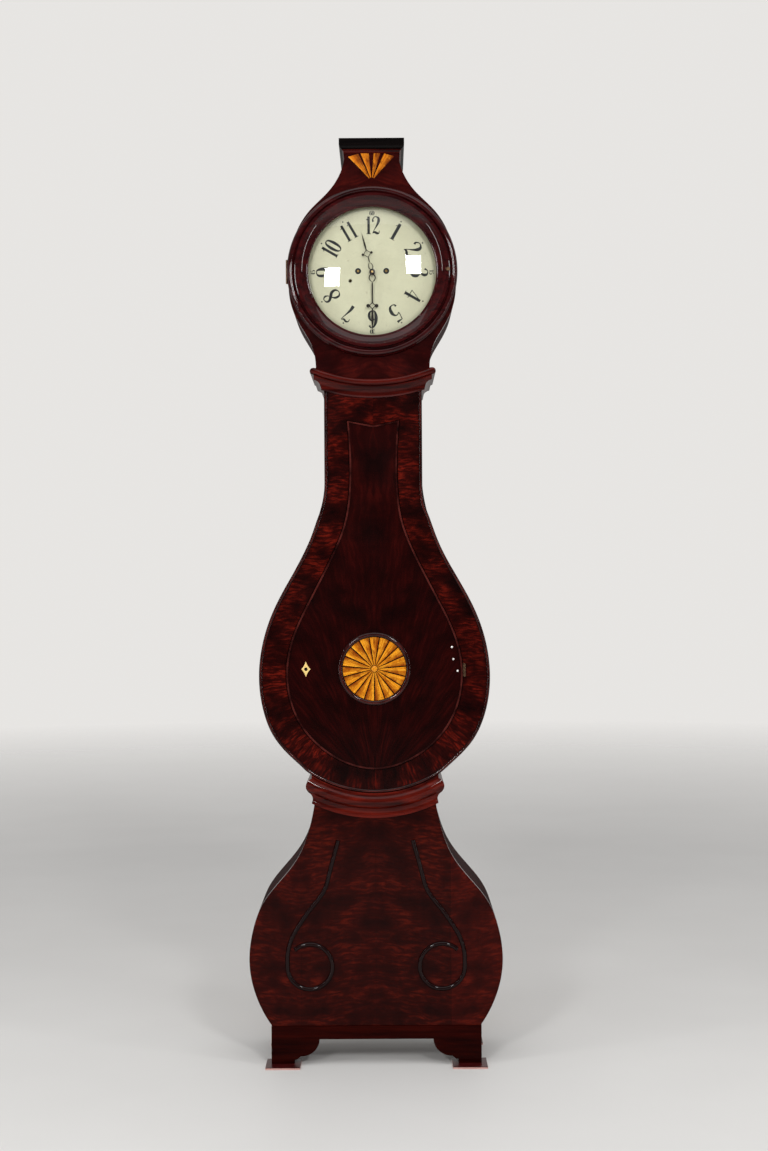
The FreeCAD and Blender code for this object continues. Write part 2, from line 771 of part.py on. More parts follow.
def make_base():
    side = base_side(0)
    waist_low = (s.waist_half, s.base_curve_top)
    waist_top = (s.waist_half, s.waist_z)
    outline = [
        spline(side), line(waist_low, waist_top),
        arc(waist_top, (0, s.waist_centre_height), mirrored([waist_top])[0]),
        line(*mirrored([waist_top, waist_low])), spline(mirrored(side)),
        line(mirrored(side)[0], side[0]),
    ]
    board("base_front_board", outline, f"{FRONT} + Sizes.front_board", "Sizes.front_board")

    inner = base_side(s.side_wall)
    shell = [spline(side), line(side[-1], waist_top),
             line(waist_top, (waist_top[0] - s.side_wall, s.waist_z)),
             line((waist_top[0] - s.side_wall, s.waist_z), inner[-1]), spline(inner), line(inner[0], side[0])]
    depth = "Sizes.case_depth - Sizes.front_board"
    board("base_side_right", shell, BACK, depth)
    left, left_inner = mirrored(side), mirrored(inner)
    left_top = (-s.waist_half, s.waist_z)
    shell = [spline(left), line(left[-1], left_top),
             line(left_top, (left_top[0] + s.side_wall, s.waist_z)),
             line((left_top[0] + s.side_wall, s.waist_z), left_inner[-1]), spline(left_inner),
             line(left_inner[0], left[0])]
    board("base_side_left", shell, BACK, depth)

    top = (s.waist_half - s.side_wall, s.waist_z)
    panel = [spline(inner), line(inner[-1], top), line(top, mirrored([top])[0]),
             line(*mirrored([top, inner[-1]])), spline(left_inner), line(left_inner[0], inner[0])]
    board("base_backboard", panel, BACK, "Sizes.back_board")


def make_saddle():
    """The moulding at the waist: a bold bead over a cove, sagging with the trunk."""
    profile = scaled(SADDLE_SHARES, s.saddle_reach, s.saddle_height)
    feature("saddle_moulding", bow(profile, s.waist_axis_z, s.waist_radius, s.waist_half, s.front_y))


def make_scrolls():
    """Applied scroll beads: a stem that sweeps down and out, then rolls into a ring."""
    ring_x, ring_z, radius = s.scroll_ring_reach, s.scroll_ring_height, s.scroll_ring_radius
    stem = [(ring_x * across, ring_z + up * s.scroll_stem_height) for across, up in STEM_SHARES]
    stem.append((ring_x + radius, ring_z))
    end_turn = math.radians(SCROLL_END_ANGLE)
    curves = [
        spline(stem, (stem[1][0] - stem[0][0], stem[1][1] - stem[0][1]), (0, -1)),
        arc((ring_x + radius, ring_z), (ring_x, ring_z - radius), (ring_x - radius, ring_z)),
        arc((ring_x - radius, ring_z),
            (ring_x - radius * math.cos(end_turn / 2), ring_z + radius * math.sin(end_turn / 2)),
            (ring_x - radius * math.cos(end_turn), ring_z + radius * math.sin(end_turn))),
    ]
    right = half_round(on_plane(curves, s.front_y), s.scroll_bead / 2, s.front_y)
    feature("scroll_beads", Part.makeCompound([right, mirror_x(right)]))


# Trunk

def make_trunk():
    side = trunk_side(0)
    top = (s.neck_half, split_arc_z(s.neck_half))
    tangents = (waist_tangent, upright)
    left, left_top = mirrored(side), mirrored([top])[0]
    left_tangents = ((-waist_tangent[0], waist_tangent[1]), upright)
    outline = [
        spline(side, *tangents), line(side[-1], top),
        arc(top, (0, s.hood_split_height), left_top),
        line(left_top, left[-1]), spline(left, *left_tangents),
        arc(left[0], (0, s.waist_centre_height), side[0]),
    ]
    board("trunk_front_frame", outline + door_outline(s.door_gap), f"{FRONT} + Sizes.front_board",
          "Sizes.front_board")

    inner = trunk_side(s.side_wall)
    depth = "Sizes.case_depth - Sizes.front_board"
    for name, flip in (("right", 1), ("left", -1)):
        outer_points = [(flip * x, z) for x, z in side]
        inner_points = [(flip * x, z) for x, z in inner]
        cheek = (flip * s.neck_half, s.cheek_top)
        cheek_inner = (flip * (s.neck_half - s.side_wall), s.cheek_top)
        shell = [spline(outer_points), line(outer_points[-1], cheek), line(cheek, cheek_inner),
                 line(cheek_inner, inner_points[-1]), spline(inner_points),
                 line(inner_points[0], outer_points[0])]
        board(f"trunk_side_{name}", shell, BACK, depth)


def make_trunk_backboard():
    """One board up the back: pear, neck, and ears that close the back of the hood."""
    pear = trunk_side(s.side_wall)
    neck = (s.neck_half - s.side_wall, s.cheek_top + s.ear_clearance)
    beside = (s.neck_half + s.ear_clearance, neck[1])
    ears = full_hood_side(s.hood_wall + s.ear_clearance)
    ears[0] = (ears[0][0], ears[0][1] + s.ear_clearance)
    ears[-1] = (ears[-1][0], ears[-1][1] - s.ear_clearance)
    step = (beside[0], ears[0][1])
    right = [spline(pear), line(pear[-1], neck), line(neck, beside), line(beside, step),
             line(step, ears[0]), spline(ears)]
    left_pear, left_ears = mirrored(pear), mirrored(ears)
    left_neck, left_beside, left_step = mirrored([neck, beside, step])
    left = [spline(left_pear), line(left_pear[-1], left_neck), line(left_neck, left_beside),
            line(left_beside, left_step), line(left_step, left_ears[0]), spline(left_ears)]
    across = [line(ears[-1], left_ears[-1]), line(left_pear[0], pear[0])]
    board("trunk_backboard", right + left + across, BACK, "Sizes.back_board")


def make_trunk_bead():
    """Half-round bead around the outer edge of the trunk front."""
    radius = s.trunk_bead / 2
    side = pushed_out(trunk_side(0), radius, waist_tangent, upright)
    end = (s.neck_half - radius, split_arc_z(s.neck_half - s.trunk_bead, s.throat_height))
    foot = side[0]
    low = s.waist_centre_height + radius
    curves = [
        line(mirrored([end])[0], mirrored(side)[-1]),
        spline(mirrored(side)[::-1], (0, -1), (waist_tangent[0], -waist_tangent[1])),
        arc(mirrored([foot])[0], (0, low), foot),
        spline(side, waist_tangent, upright), line(side[-1], end),
    ]
    feature("trunk_edge_bead", half_round(on_plane(curves, s.front_y), radius, s.front_y))


def make_throat():
    """The cove under the hood; its top carries the hood."""
    profile = scaled(THROAT_SHARES, s.throat_reach, s.throat_height)
    scale = s.throat_side_reach / s.throat_reach
    feature("throat_moulding",
            bow(profile, s.split_axis_z, s.hood_split_radius, s.neck_half, s.front_y, scale))


def make_seatboard():
    """The board that carries the movement, with holes for the lines."""
    body = doc.addObject("PartDesign::Body", "seatboard")
    front = s.seat_front
    back = front + s.seat_depth
    half = s.neck_half
    curves = path_lines([(-half, front), (half, front), (half, back), (-half, back)])
    for side in (-1, 1):
        centre = Vector(side * (s.winding_reach + s.line_offset), s.line_y - s.front_y, 0)
        curves.append(Part.Circle(centre, Vector(0, 0, 1), 4 * s.line_radius))
    sketch = sketch_on(body, "seatboard_outline", "XY_Plane", curves)
    pad = body.newObject("PartDesign::Pad", "seatboard_pad")
    pad.Profile = sketch
    bind(pad, Length="Sizes.seat_board")
    bind(body, y=FRONT, z="Sizes.cheek_top")
    keep(body, "seatboard")


# Trunk door

def make_door():
    board("door_panel", door_outline(0), f"{FRONT} + Sizes.front_board", "Sizes.front_board")

    outer = Part.Face(on_plane(door_outline(0), s.front_y))
    inner = Part.Face(on_plane(door_outline(-s.door_bead), s.front_y))
    edge = outer.cut(inner).extrude(Vector(0, -s.door_bead_height, 0))
    middle = Vector(0, s.front_y, s.medallion_height)
    width, height = s.medallion_ring, s.medallion_ring_height
    mean = s.medallion_disc + width / 2
    section = Part.Wire([
        Part.Arc(Vector(mean - width / 2, s.front_y, s.medallion_height),
                 Vector(mean, s.front_y - height, s.medallion_height),
                 Vector(mean + width / 2, s.front_y, s.medallion_height)).toShape(),
        Part.LineSegment(Vector(mean + width / 2, s.front_y, s.medallion_height),
                         Vector(mean - width / 2, s.front_y, s.medallion_height)).toShape(),
    ])
    ring = Part.Face(section).revolve(middle, Vector(0, 1, 0), 360)
    feature("door_beads", Part.makeCompound([edge, ring]))


def make_rays():
    """A low button and wedge-shaped veneers around it, with a narrow gap between neighbours."""
    count = int(s.ray_count)
    rays = []
    inner = s.medallion_button + s.ray_gap
    outer = s.medallion_disc
    for index in range(count):
        middle = 2 * math.pi * index / count
        half_turn = math.pi / count
        corners = []
        for radius, side in ((inner, -1), (outer, -1), (outer, 0), (outer, 1), (inner, 1)):
            angle = middle + side * (half_turn - s.ray_gap / 2 / radius)
            corners.append((radius * math.sin(angle), s.medallion_height + radius * math.cos(angle)))
        a, b, c, d, e = [Vector(x, s.front_y, z) for x, z in corners]
        edges = [Part.LineSegment(a, b), Part.Arc(b, c, d), Part.LineSegment(d, e), Part.LineSegment(e, a)]
        face = Part.Face(Part.Wire([edge.toShape() for edge in edges]))
        rays.append(face.extrude(Vector(0, -s.ray_thickness, 0)))
    size, rise, z = s.medallion_button, s.button_height, s.medallion_height
    round_radius = (size ** 2 + rise ** 2) / (2 * rise)
    ball = Part.makeSphere(round_radius, Vector(0, s.front_y - rise + round_radius, z))
    button = ball.common(block(-size, size, s.front_y - size, s.front_y, z - size, z + size))
    feature("medallion_rays", Part.makeCompound(rays + [button]))


def make_lock():
    """Keyhole plate, lock case behind the door, and the bolt that slides behind the frame."""
    x, z = -s.escutcheon_reach, s.medallion_height
    half, tall = s.escutcheon_width / 2, s.escutcheon_height / 2
    shoulder_x, shoulder_z = ESCUTCHEON_WAIST_SHARE * half, ESCUTCHEON_WAIST_SHARE * tall
    corners = [(x, z + tall), (x + half, z), (x, z - tall), (x - half, z)]
    hollows = [(x + shoulder_x, z + shoulder_z), (x + shoulder_x, z - shoulder_z),
               (x - shoulder_x, z - shoulder_z), (x - shoulder_x, z + shoulder_z)]
    curves = [arc(a, m, b) for a, m, b in zip(corners, hollows, corners[1:] + corners[:1])]
    plate = Part.Face(on_plane(curves, s.front_y)).extrude(Vector(0, -s.escutcheon_thickness, 0))
    hole = post(s.keyhole_radius, 4 * s.escutcheon_thickness, x, s.front_y - 2 * s.escutcheon_thickness, z)
    feature("escutcheon", plate.cut(hole))

    case = block(x - s.lock_width / 2, x + s.lock_width / 2, s.board_back_y, s.board_back_y + s.lock_depth,
                 z - s.lock_height / 2, z + s.lock_height / 2)
    slack = s.hood_clearance
    bolt_y = s.board_back_y + slack
    tip = -(s.door_half - s.bolt_setback)
    bolt_half = s.bolt_height / 2 + slack
    slot = block(x - s.lock_width, tip + s.bolt_length + slack, bolt_y - slack,
                 bolt_y + s.bolt_thickness + slack, z - bolt_half, z + bolt_half)
    key_post = post(s.key_post_radius, s.front_board + s.lock_depth - s.escutcheon_thickness, x,
                    s.front_y + s.escutcheon_thickness, z)
    feature("lock_case", case.cut(slot).fuse(key_post).removeSplitter())

    bolt = doc.addObject("Part::Box", "lock_bolt")
    bind(bolt, Length="Sizes.bolt_length", Width="Sizes.bolt_thickness", Height="Sizes.bolt_height",
         x="-(Sizes.door_half - Sizes.bolt_setback)", y=f"{FRONT} + Sizes.front_board + Sizes.hood_clearance",
         z="Sizes.medallion_height - Sizes.bolt_height / 2")
    keep(bolt, "lock_bolt")


def make_door_hinge():
    """Butt hinge at the widest point of the door, its knuckle proud of the face."""
    pin_x, pin_y, middle_z = s.door_pin_reach, s.front_y - s.door_pin_forward, s.door_pin_height
    length, knuckle, leaf = s.door_hinge_length, s.door_knuckle, s.door_leaf
    bore = s.door_pin_radius + s.pivot_clearance
    low, high = middle_z - length / 2, middle_z + length / 2
    third = length / 3
    slack = s.hood_clearance / 2
    spans = {"low": (low, low + third - slack), "middle": (low + third + slack, high - third - slack),
             "high": (high - third + slack, high)}
    up = Vector(0, 0, 1)

    def barrel(span):
        return post(knuckle, span[1] - span[0], pin_x, pin_y, span[0], up)

    hole = post(bore, 3 * length, pin_x, pin_y, low - length, up)
    door_x = s.door_half
    door_leaf_plate = block(door_x, door_x + leaf, s.front_y, s.board_back_y, low, high)
    tongue = block(door_x, pin_x, pin_y - leaf / 2, pin_y + leaf / 2, *spans["middle"])
    web = block(door_x, door_x + leaf, pin_y - leaf / 2, s.front_y + leaf, *spans["middle"])
    back_x = door_x - s.door_leaf_back_width
    back = fused([
        block(back_x, door_x + leaf, s.board_back_y, s.board_back_y + leaf, low, high),
        block(back_x, back_x + s.door_leaf_upper_width, s.board_back_y, s.board_back_y + leaf, low,
              low + s.door_leaf_back_height),
    ])
    nails = []
    for across_share, up_share in NAIL_SHARES:
        x = door_x - across_share * s.door_leaf_back_width
        z = low + up_share * s.door_leaf_back_height
        nails.append(post(s.nail_radius, s.front_board + leaf, x, s.front_y - leaf, z))
    door_side_parts = fused([door_leaf_plate, web, tongue, barrel(spans["middle"])]).cut(hole)
    feature("door_hinge_leaf", fused([door_side_parts, back] + nails))

    frame_x = door_x + s.door_gap - leaf
    frame_leaf_plate = block(frame_x - leaf / 2, frame_x + leaf / 2, s.front_y, s.board_back_y, low, high)
    webs = [block(frame_x - leaf / 2, frame_x + leaf / 2, pin_y, s.front_y + leaf, *spans[name])
            for name in ("low", "high")]
    barrels = [barrel(spans[name]) for name in ("low", "high")]
    leaf_solid = fused([frame_leaf_plate] + webs + barrels).cut(hole)
    pin = post(s.door_pin_radius, length, pin_x, pin_y, low, up)
    feature("trunk_hinge_leaf", Part.makeCompound([leaf_solid, pin]))
    return nails, frame_leaf_plate


# Hood

def make_hood():
    side = full_hood_side(0)
    inner = full_hood_side(s.hood_wall)
    lift = s.hood_clearance
    middle = (0, s.hood_split_height + lift)
    side[0] = (side[0][0], side[0][1] + lift)
    inner[0] = (inner[0][0], side[0][1])
    left = mirrored(side)
    hole = Part.Circle(Vector(0, s.dial_height, 0), Vector(0, 0, 1), s.hood_hole)
    slot_half = s.latch_tongue_width / 2 + s.bezel_gap
    slot = path_lines([
        (s.latch_reach - slot_half, s.dial_height - slot_half),
        (s.latch_reach + slot_half, s.dial_height - slot_half),
        (s.latch_reach + slot_half, s.dial_height + s.latch_tongue + s.bezel_gap),
        (s.latch_reach - slot_half, s.dial_height + s.latch_tongue + s.bezel_gap),
    ])
    outline = [spline(side), line(side[-1], left[-1]), spline(left), arc(left[0], middle, side[0]), hole]
    board("hood_front_board", outline + slot, f"{FRONT} + Sizes.front_board", "Sizes.front_board")
    depth = "Sizes.case_depth - Sizes.front_board"
    for name, flip in (("right", 1), ("left", -1)):
        outer_points = [(flip * x, z) for x, z in side]
        inner_points = [(flip * x, z) for x, z in inner]
        shell = [spline(outer_points), line(outer_points[-1], inner_points[-1]), spline(inner_points),
                 line(inner_points[0], outer_points[0])]
        board(f"hood_side_{name}", shell, BACK, depth)


def make_hood_bead():
    """Bold bead around the foot of the hood, sagging with the split line."""
    profile = scaled(HOOD_BEAD_SHARES, s.hood_bead_reach, s.hood_bead_height)
    radius = s.hood_split_radius - s.hood_bead_height - s.hood_clearance
    feature("hood_base_bead", bow(profile, s.split_axis_z, radius, s.hood_foot_half, s.front_y))


def make_cap():
    """Flat cap: a slab whose lower edges are rounded in on three sides."""
    body = doc.addObject("PartDesign::Body", "cap")
    front = -s.cap_overhang
    back = s.case_depth
    half = s.cap_half
    sketch = sketch_on(body, "cap_outline", "XY_Plane",
                       path_lines([(-half, front), (half, front), (half, back), (-half, back)]))
    pad = body.newObject("PartDesign::Pad", "cap_pad")
    pad.Profile = sketch
    bind(pad, Length="Sizes.cap_height")
    doc.recompute()
    low = [f"Edge{index + 1}" for index, edge in enumerate(pad.Shape.Edges)
           if edge.BoundBox.ZMax < s.cap_height / 2 and edge.BoundBox.YMin < back / 2]
    rounding = body.newObject("PartDesign::Fillet", "cap_rounding")
    rounding.Base = (pad, low)
    bind(rounding, Radius="Sizes.cap_round")
    bind(body, y=FRONT, z="Sizes.cap_z")
    keep(body, "cap")


def make_fan():
    """Four wedge veneers that open from an apex below the cap."""
    apex_z = s.cap_z - s.fan_apex_drop
    drop = s.fan_top_radius - s.fan_radius
    wedges = []
    for start, end in FAN_ANGLES:
        corners = []
        for angle, outer in ((start, False), (start, True), (end, True), (end, False)):
            turn = math.radians(angle)
            reach = s.fan_inner
            if outer:
                reach = (math.sqrt(s.fan_top_radius ** 2 - (drop * math.sin(turn)) ** 2)
                         - drop * math.cos(turn))
            corners.append((reach * math.sin(turn), apex_z + reach * math.cos(turn)))
        wedges.append(plate_of(corners, s.front_y - s.fan_thickness, s.fan_thickness))
    feature("fan_inlay", Part.makeCompound(wedges))


# Glazed bezel

def make_bezel():
    """Turned ring: inner bead, broad rise to a ridge, quirk, outer half-round."""
    inner, outer, gap, deep = s.bezel_opening, s.bezel_radius, s.bezel_gap, s.bezel_depth
    width = outer - inner
    rebate = s.glass_radius + s.hood_clearance

    at = {name: (inner + across * width, -gap - forward * (deep - gap))
          for name, (across, forward) in BEZEL_SHARES.items()}
    back_inner = (rebate, -gap)
    back_outer = (outer, -gap)
    lip_back = (rebate, -gap - s.glass_seat)
    lip_inner = (inner, -gap - s.glass_seat)
    profile = [
        line(back_inner, lip_back), line(lip_back, lip_inner), line(lip_inner, at["lip_front"]),
        arc(at["lip_front"], at["lip_middle"], at["lip_end"]),
        arc(at["lip_end"], at["slope_middle"], at["ridge"]), line(at["ridge"], at["ridge_end"]),
        line(at["ridge_end"], at["quirk"]), line(at["quirk"], at["bead"]),
        arc(at["bead"], at["bead_middle"], at["bead_end"]), line(at["bead_end"], at["edge"]),
        line(at["edge"], back_outer), line(back_outer, back_inner),
    ]
    turned("bezel_ring", profile, FRONT, "Sizes.dial_height")
    notch = doc.addObject("Part::Box", "knuckle_notch")
    bind(notch, Length="2 * Sizes.bezel_knuckle + Sizes.bezel_gap + Sizes.hood_clearance",
         Width="Sizes.bezel_pin_forward + Sizes.bezel_knuckle + Sizes.hood_clearance",
         Height="Sizes.bezel_hinge_length + 2 * Sizes.hood_clearance",
         x="-Sizes.bezel_pin_reach - Sizes.bezel_knuckle - Sizes.hood_clearance",
         y=f"{FRONT} - Sizes.bezel_pin_forward - Sizes.bezel_knuckle - Sizes.hood_clearance",
         z="Sizes.dial_height - Sizes.bezel_hinge_length / 2 - Sizes.hood_clearance")
    cut_from("bezel_ring", notch)
    bore = doc.addObject("Part::Cylinder", "latch_bore")
    bore.Placement = Placement(Vector(), Rotation(Vector(1, 0, 0), 90))
    bind(bore, Radius="Sizes.latch_shaft + Sizes.pivot_clearance", Height="2 * Sizes.bezel_depth",
         x="Sizes.latch_reach", y=FRONT, z="Sizes.dial_height")
    cut_from("bezel_ring", bore)

    rim, thick, rise = s.glass_radius, s.glass_thickness, s.glass_rise
    seat = gap + s.glass_seat - s.hood_clearance - dome_height(rim, rise, inner)
    half_rise = dome_height(rim, rise, rim / 2)
    glass = [
        line((0, -seat - rise + thick), (0, -seat - rise)),
        arc((0, -seat - rise), (rim / 2, -seat - half_rise), (rim, -seat)),
        line((rim, -seat), (rim, -seat + thick)),
        arc((rim, -seat + thick), (rim / 2, -seat - half_rise + thick), (0, -seat - rise + thick)),
    ]
    turned("bezel_glass", glass, FRONT, "Sizes.dial_height")


def make_bezel_hinge():
    """Butt hinge on the left edge of the bezel."""
    pin_x, pin_y, middle_z = -s.bezel_pin_reach, s.front_y - s.bezel_pin_forward, s.dial_height
    length, knuckle, leaf = s.bezel_hinge_length, s.bezel_knuckle, s.bezel_leaf
    low, high = middle_z - length / 2, middle_z + length / 2
    third, slack = length / 3, s.hood_clearance / 2
    up = Vector(0, 0, 1)
    hole = post(s.bezel_pin_radius + s.pivot_clearance, 3 * length, pin_x, pin_y, low - length, up)
    middle_span = (low + third + slack, high - third - slack)
    outer_spans = ((low, low + third - slack), (high - third + slack, high))

    def barrel(span):
        return post(knuckle, span[1] - span[0], pin_x, pin_y, span[0], up)

    reach = pin_x + s.bezel_leaf_width
    ring_leaf = block(pin_x, reach, s.front_y - s.bezel_gap, s.front_y - s.bezel_gap + leaf, *middle_span)
    feature("bezel_hinge_leaf", fused([ring_leaf, barrel(middle_span)]).cut(hole))

    start = -s.hood_half + leaf
    plates = [block(start, reach, s.front_y - leaf, s.front_y, low, high)]
    for span in outer_spans:
        plates.append(block(pin_x, start + leaf, s.front_y - leaf, s.front_y, *span))
        plates.append(barrel(span))
    clear = block(pin_x - 2 * knuckle, start, s.front_y - 2 * leaf, s.front_y, *middle_span)
    hood_leaf = fused(plates).cut(hole).cut(clear)
    pin = post(s.bezel_pin_radius, length, pin_x, pin_y, low, up)
    feature("hood_hinge_leaf", Part.makeCompound([hood_leaf, pin]))


def make_latch():
    """Turn knob on the bezel: a shaft through the ring and a tongue behind the hood front."""
    x, z = s.latch_reach, s.dial_height
    front = s.front_y - s.bezel_depth - s.hood_clearance
    tongue_y = s.board_back_y + s.hood_clearance
    knob = Part.makeSphere(s.latch_knob, Vector(x, front - s.latch_knob_height / 2, z))
    knob = knob.common(block(x - s.latch_knob, x + s.latch_knob, front - s.latch_knob_height, front,
                             z - s.latch_knob, z + s.latch_knob))
    shaft = post(s.latch_shaft, tongue_y + s.latch_tongue_thickness - front, x, front, z)
    half = s.latch_tongue_width / 2
    tongue = block(x - half, x + half, tongue_y, tongue_y + s.latch_tongue_thickness, z - half,
                   z + s.latch_tongue)
    feature("bezel_latch", fused([knob, shaft, tongue]))


# Dial and hands

def make_dial():
    """Round painted plate with holes for the hands' pipes and the winding squares."""
    body = doc.addObject("PartDesign::Body", "dial_plate")
    normal = Vector(0, 0, 1)
    curves = [Part.Circle(Vector(), normal, s.dial_radius), Part.Circle(Vector(), normal, s.hand_boss)]
    for side in (-1, 1):
        curves.append(Part.Circle(Vector(side * s.winding_reach, s.winding_rise, 0), normal, s.winding_hole))
    curves.append(Part.Circle(Vector(-s.small_hole_reach, -s.small_hole_drop, 0), normal, s.small_hole))
    sketch = sketch_on(body, "dial_outline", "XZ_Plane", curves)
    pad = body.newObject("PartDesign::Pad", "dial_pad")
    pad.Profile = sketch
    bind(pad, Length="Sizes.dial_thickness")
    bind(body, y=f"{FRONT} + Sizes.dial_inset + Sizes.dial_thickness", z="Sizes.dial_height")
    keep(body, "dial_plate")


def diamond(middle, half, thickness):
    corners = [(0, middle - half), (half, middle), (0, middle + half), (-half, middle)]
    return plate_of(corners, 0, thickness)


def loop(low, high, half, rib, thickness):
    """A pierced drop: a ring that is round below and drawn out above."""
    def drop(inset):
        bottom, top, wide = low + inset, high - inset, half - inset
        sides = [(across * wide, bottom + up * (top - bottom)) for across, up in LOOP_SHARES]
        right = [(0, bottom)] + sides + [(0, top)]
        edges = [spline(right, (1, 0), (-0.3, 1)).toShape(),
                 spline(mirrored(right), (-1, 0), (0.3, 1)).toShape()]
        wire = Part.Wire(Part.__sortEdges__(edges))
        wire.rotate(Vector(), Vector(1, 0, 0), 90)
        return Part.Face(wire)
    return drop(0).cut(drop(rib)).extrude(Vector(0, thickness, 0))


def knob_pair(reach, height, radius, thickness):
    return [post(radius, thickness, side * reach, 0, height) for side in (-1, 1)]


def hand_blank(length, shares, bore):
    """A pierced hand that points up from its boss, at y 0."""
    thick = s.hand_thickness
    loop_end, boss_middle, boss_half, tip_half = [
        shares[name] * length for name in ("loop", "boss", "boss_half", "tip_half")]
    rib_share, shaft_share, leaf_share = 0.014, 0.012, shares["leaf"]
    rib, shaft = rib_share * length, shaft_share * length
    boss = post(s.hand_boss, thick, 0, 0, 0)
    opening = diamond(boss_middle, boss_half - 1.5 * rib, thick)
    pierced = diamond(boss_middle, boss_half, thick).cut(opening)
    tip_start = boss_middle + boss_half - rib
    stem_low, stem_high = loop_end - rib, boss_middle - boss_half + rib
    stem = block(-shaft, shaft, 0, thick, stem_low, stem_high)
    leaf = plate_of([(-shaft, tip_start), (shaft, tip_start),
                     (tip_half, tip_start + leaf_share * (length - tip_start)),
                     (0, length), (-tip_half, tip_start + leaf_share * (length - tip_start))], 0, thick)
    knobs = knob_pair(boss_half + rib / 2, boss_middle, 2.2 * rib, thick)
    ring = loop(s.hand_boss - rib, loop_end, 4.2 * rib, 1.3 * rib, thick)
    whole = fused([boss, ring, stem, pierced, leaf] + knobs)
    return whole.cut(post(bore, 3 * thick, 0, -thick, 0))


def make_hands():
    hour = hand_blank(s.hour_hand_length, HOUR_HAND_SHARES, 2 * s.arbor_radius)
    hour.rotate(Vector(), Vector(0, 1, 0), -15)
    hour.translate(Vector(0, s.dial_front_y - s.hour_hand_step - s.hand_thickness, s.dial_height))
    feature("hour_hand", hour)
    minute = hand_blank(s.minute_hand_length, MINUTE_HAND_SHARES, s.arbor_radius)
    minute.rotate(Vector(), Vector(0, 1, 0), 180)
    minute.translate(Vector(0, s.dial_front_y - s.minute_hand_step - s.hand_thickness, s.dial_height))
    feature("minute_hand", minute)


# Movement

great_module = 2 * s.winding_reach / (GREAT_TEETH + CENTRE_PINION_LEAVES)
centre_module, third_module, motion_module = [share * great_module for share in MODULE_SHARES]
hour_module = motion_module * 2 * CANNON_TEETH / (MINUTE_PINION_LEAVES + HOUR_TEETH)
third_z = s.dial_height + centre_module * (CENTRE_TEETH + THIRD_PINION_LEAVES) / 2
escape_z = third_z + third_module * (THIRD_TEETH + ESCAPE_PINION_LEAVES) / 2
minute_z = s.dial_height - motion_module * CANNON_TEETH
pin_bearing = math.radians(-20)
fly_bearing = math.radians(10)
pin_distance = great_module * (STRIKE_GREAT_TEETH + PIN_WHEEL_PINION_LEAVES) / 2
pin_x = -s.winding_reach + pin_distance * math.sin(pin_bearing)
pin_z = s.winding_z + pin_distance * math.cos(pin_bearing)
fly_distance = centre_module * (PIN_WHEEL_TEETH + FLY_PINION_LEAVES) / 2
fly_x = pin_x + fly_distance * math.sin(fly_bearing)
fly_z = pin_z + fly_distance * math.cos(fly_bearing)
hammer_x = -HAMMER_SHARES[0] * s.plate_half
hammer_z = s.dial_height + HAMMER_SHARES[1] * (s.plate_top - s.seat_height)
great_bearing = math.atan2(s.winding_reach, s.winding_rise)
great_distance = math.hypot(s.winding_reach, s.winding_rise)
going_module = 2 * great_distance / (GREAT_TEETH + CENTRE_PINION_LEAVES)
hour_y = s.motion_y - 1.6 * s.wheel_thickness


def arbor_holes():
    """Pivot holes of both plates, as (x, z, radius)."""
    small = s.pivot_radius + s.pivot_clearance
    large = s.arbor_radius + s.pivot_clearance
    return [(0, s.dial_height, large), (0, third_z, small), (0, escape_z, small), (0, s.pallet_z, small),
            (s.winding_reach, s.winding_z, large), (-s.winding_reach, s.winding_z, large),
            (pin_x, pin_z, small), (fly_x, fly_z, small), (hammer_x, hammer_z, small)]


def make_movement_frame():
    """Two plates, four pillars and four dial feet."""
    top = s.plate_top
    pieces = []
    pillar_x = s.plate_half - 2 * s.pillar_radius
    heights = (s.seat_height + 2 * s.pillar_radius, top - 2 * s.pillar_radius)
    for y in (s.plate_front_y, s.back_plate_y):
        plate = block(-s.plate_half, s.plate_half, y, y + s.plate_thickness, s.seat_height, top)
        for x, z, radius in arbor_holes():
            plate = plate.cut(post(radius, 3 * s.plate_thickness, x, y - s.plate_thickness, z))
        pieces.append(plate)
    for x in (-pillar_x, pillar_x):
        for z in heights:
            pieces.append(post(s.pillar_radius, s.plate_gap, x, s.plate_inner_y, z))
    foot_start = s.dial_front_y + s.dial_thickness
    for x in (-pillar_x, pillar_x):
        for z in heights:
            pieces.append(post(s.dial_foot, s.plate_front_y - foot_start, x, foot_start, z))
    stud = post(s.pivot_radius, s.plate_front_y - hour_y + s.wheel_thickness / 2, 0,
                hour_y - s.wheel_thickness / 2, minute_z)
    pieces[0] = pieces[0].fuse(stud)
    feature("movement_frame", Part.makeCompound(pieces))


def wheel_on_arbor(label, x, z, wheels, arbor_from, arbor_to, radius, extra=()):
    """A wheel with its pinion on one arbor. wheels holds (teeth, module, y, thickness, phase)."""
    pieces = [gear(teeth, module, x, z, y, thick, phase) for teeth, module, y, thick, phase in wheels]
    pieces.append(post(radius, arbor_to - arbor_from, x, arbor_from, z))
    return feature(label, fused(pieces + list(extra)))


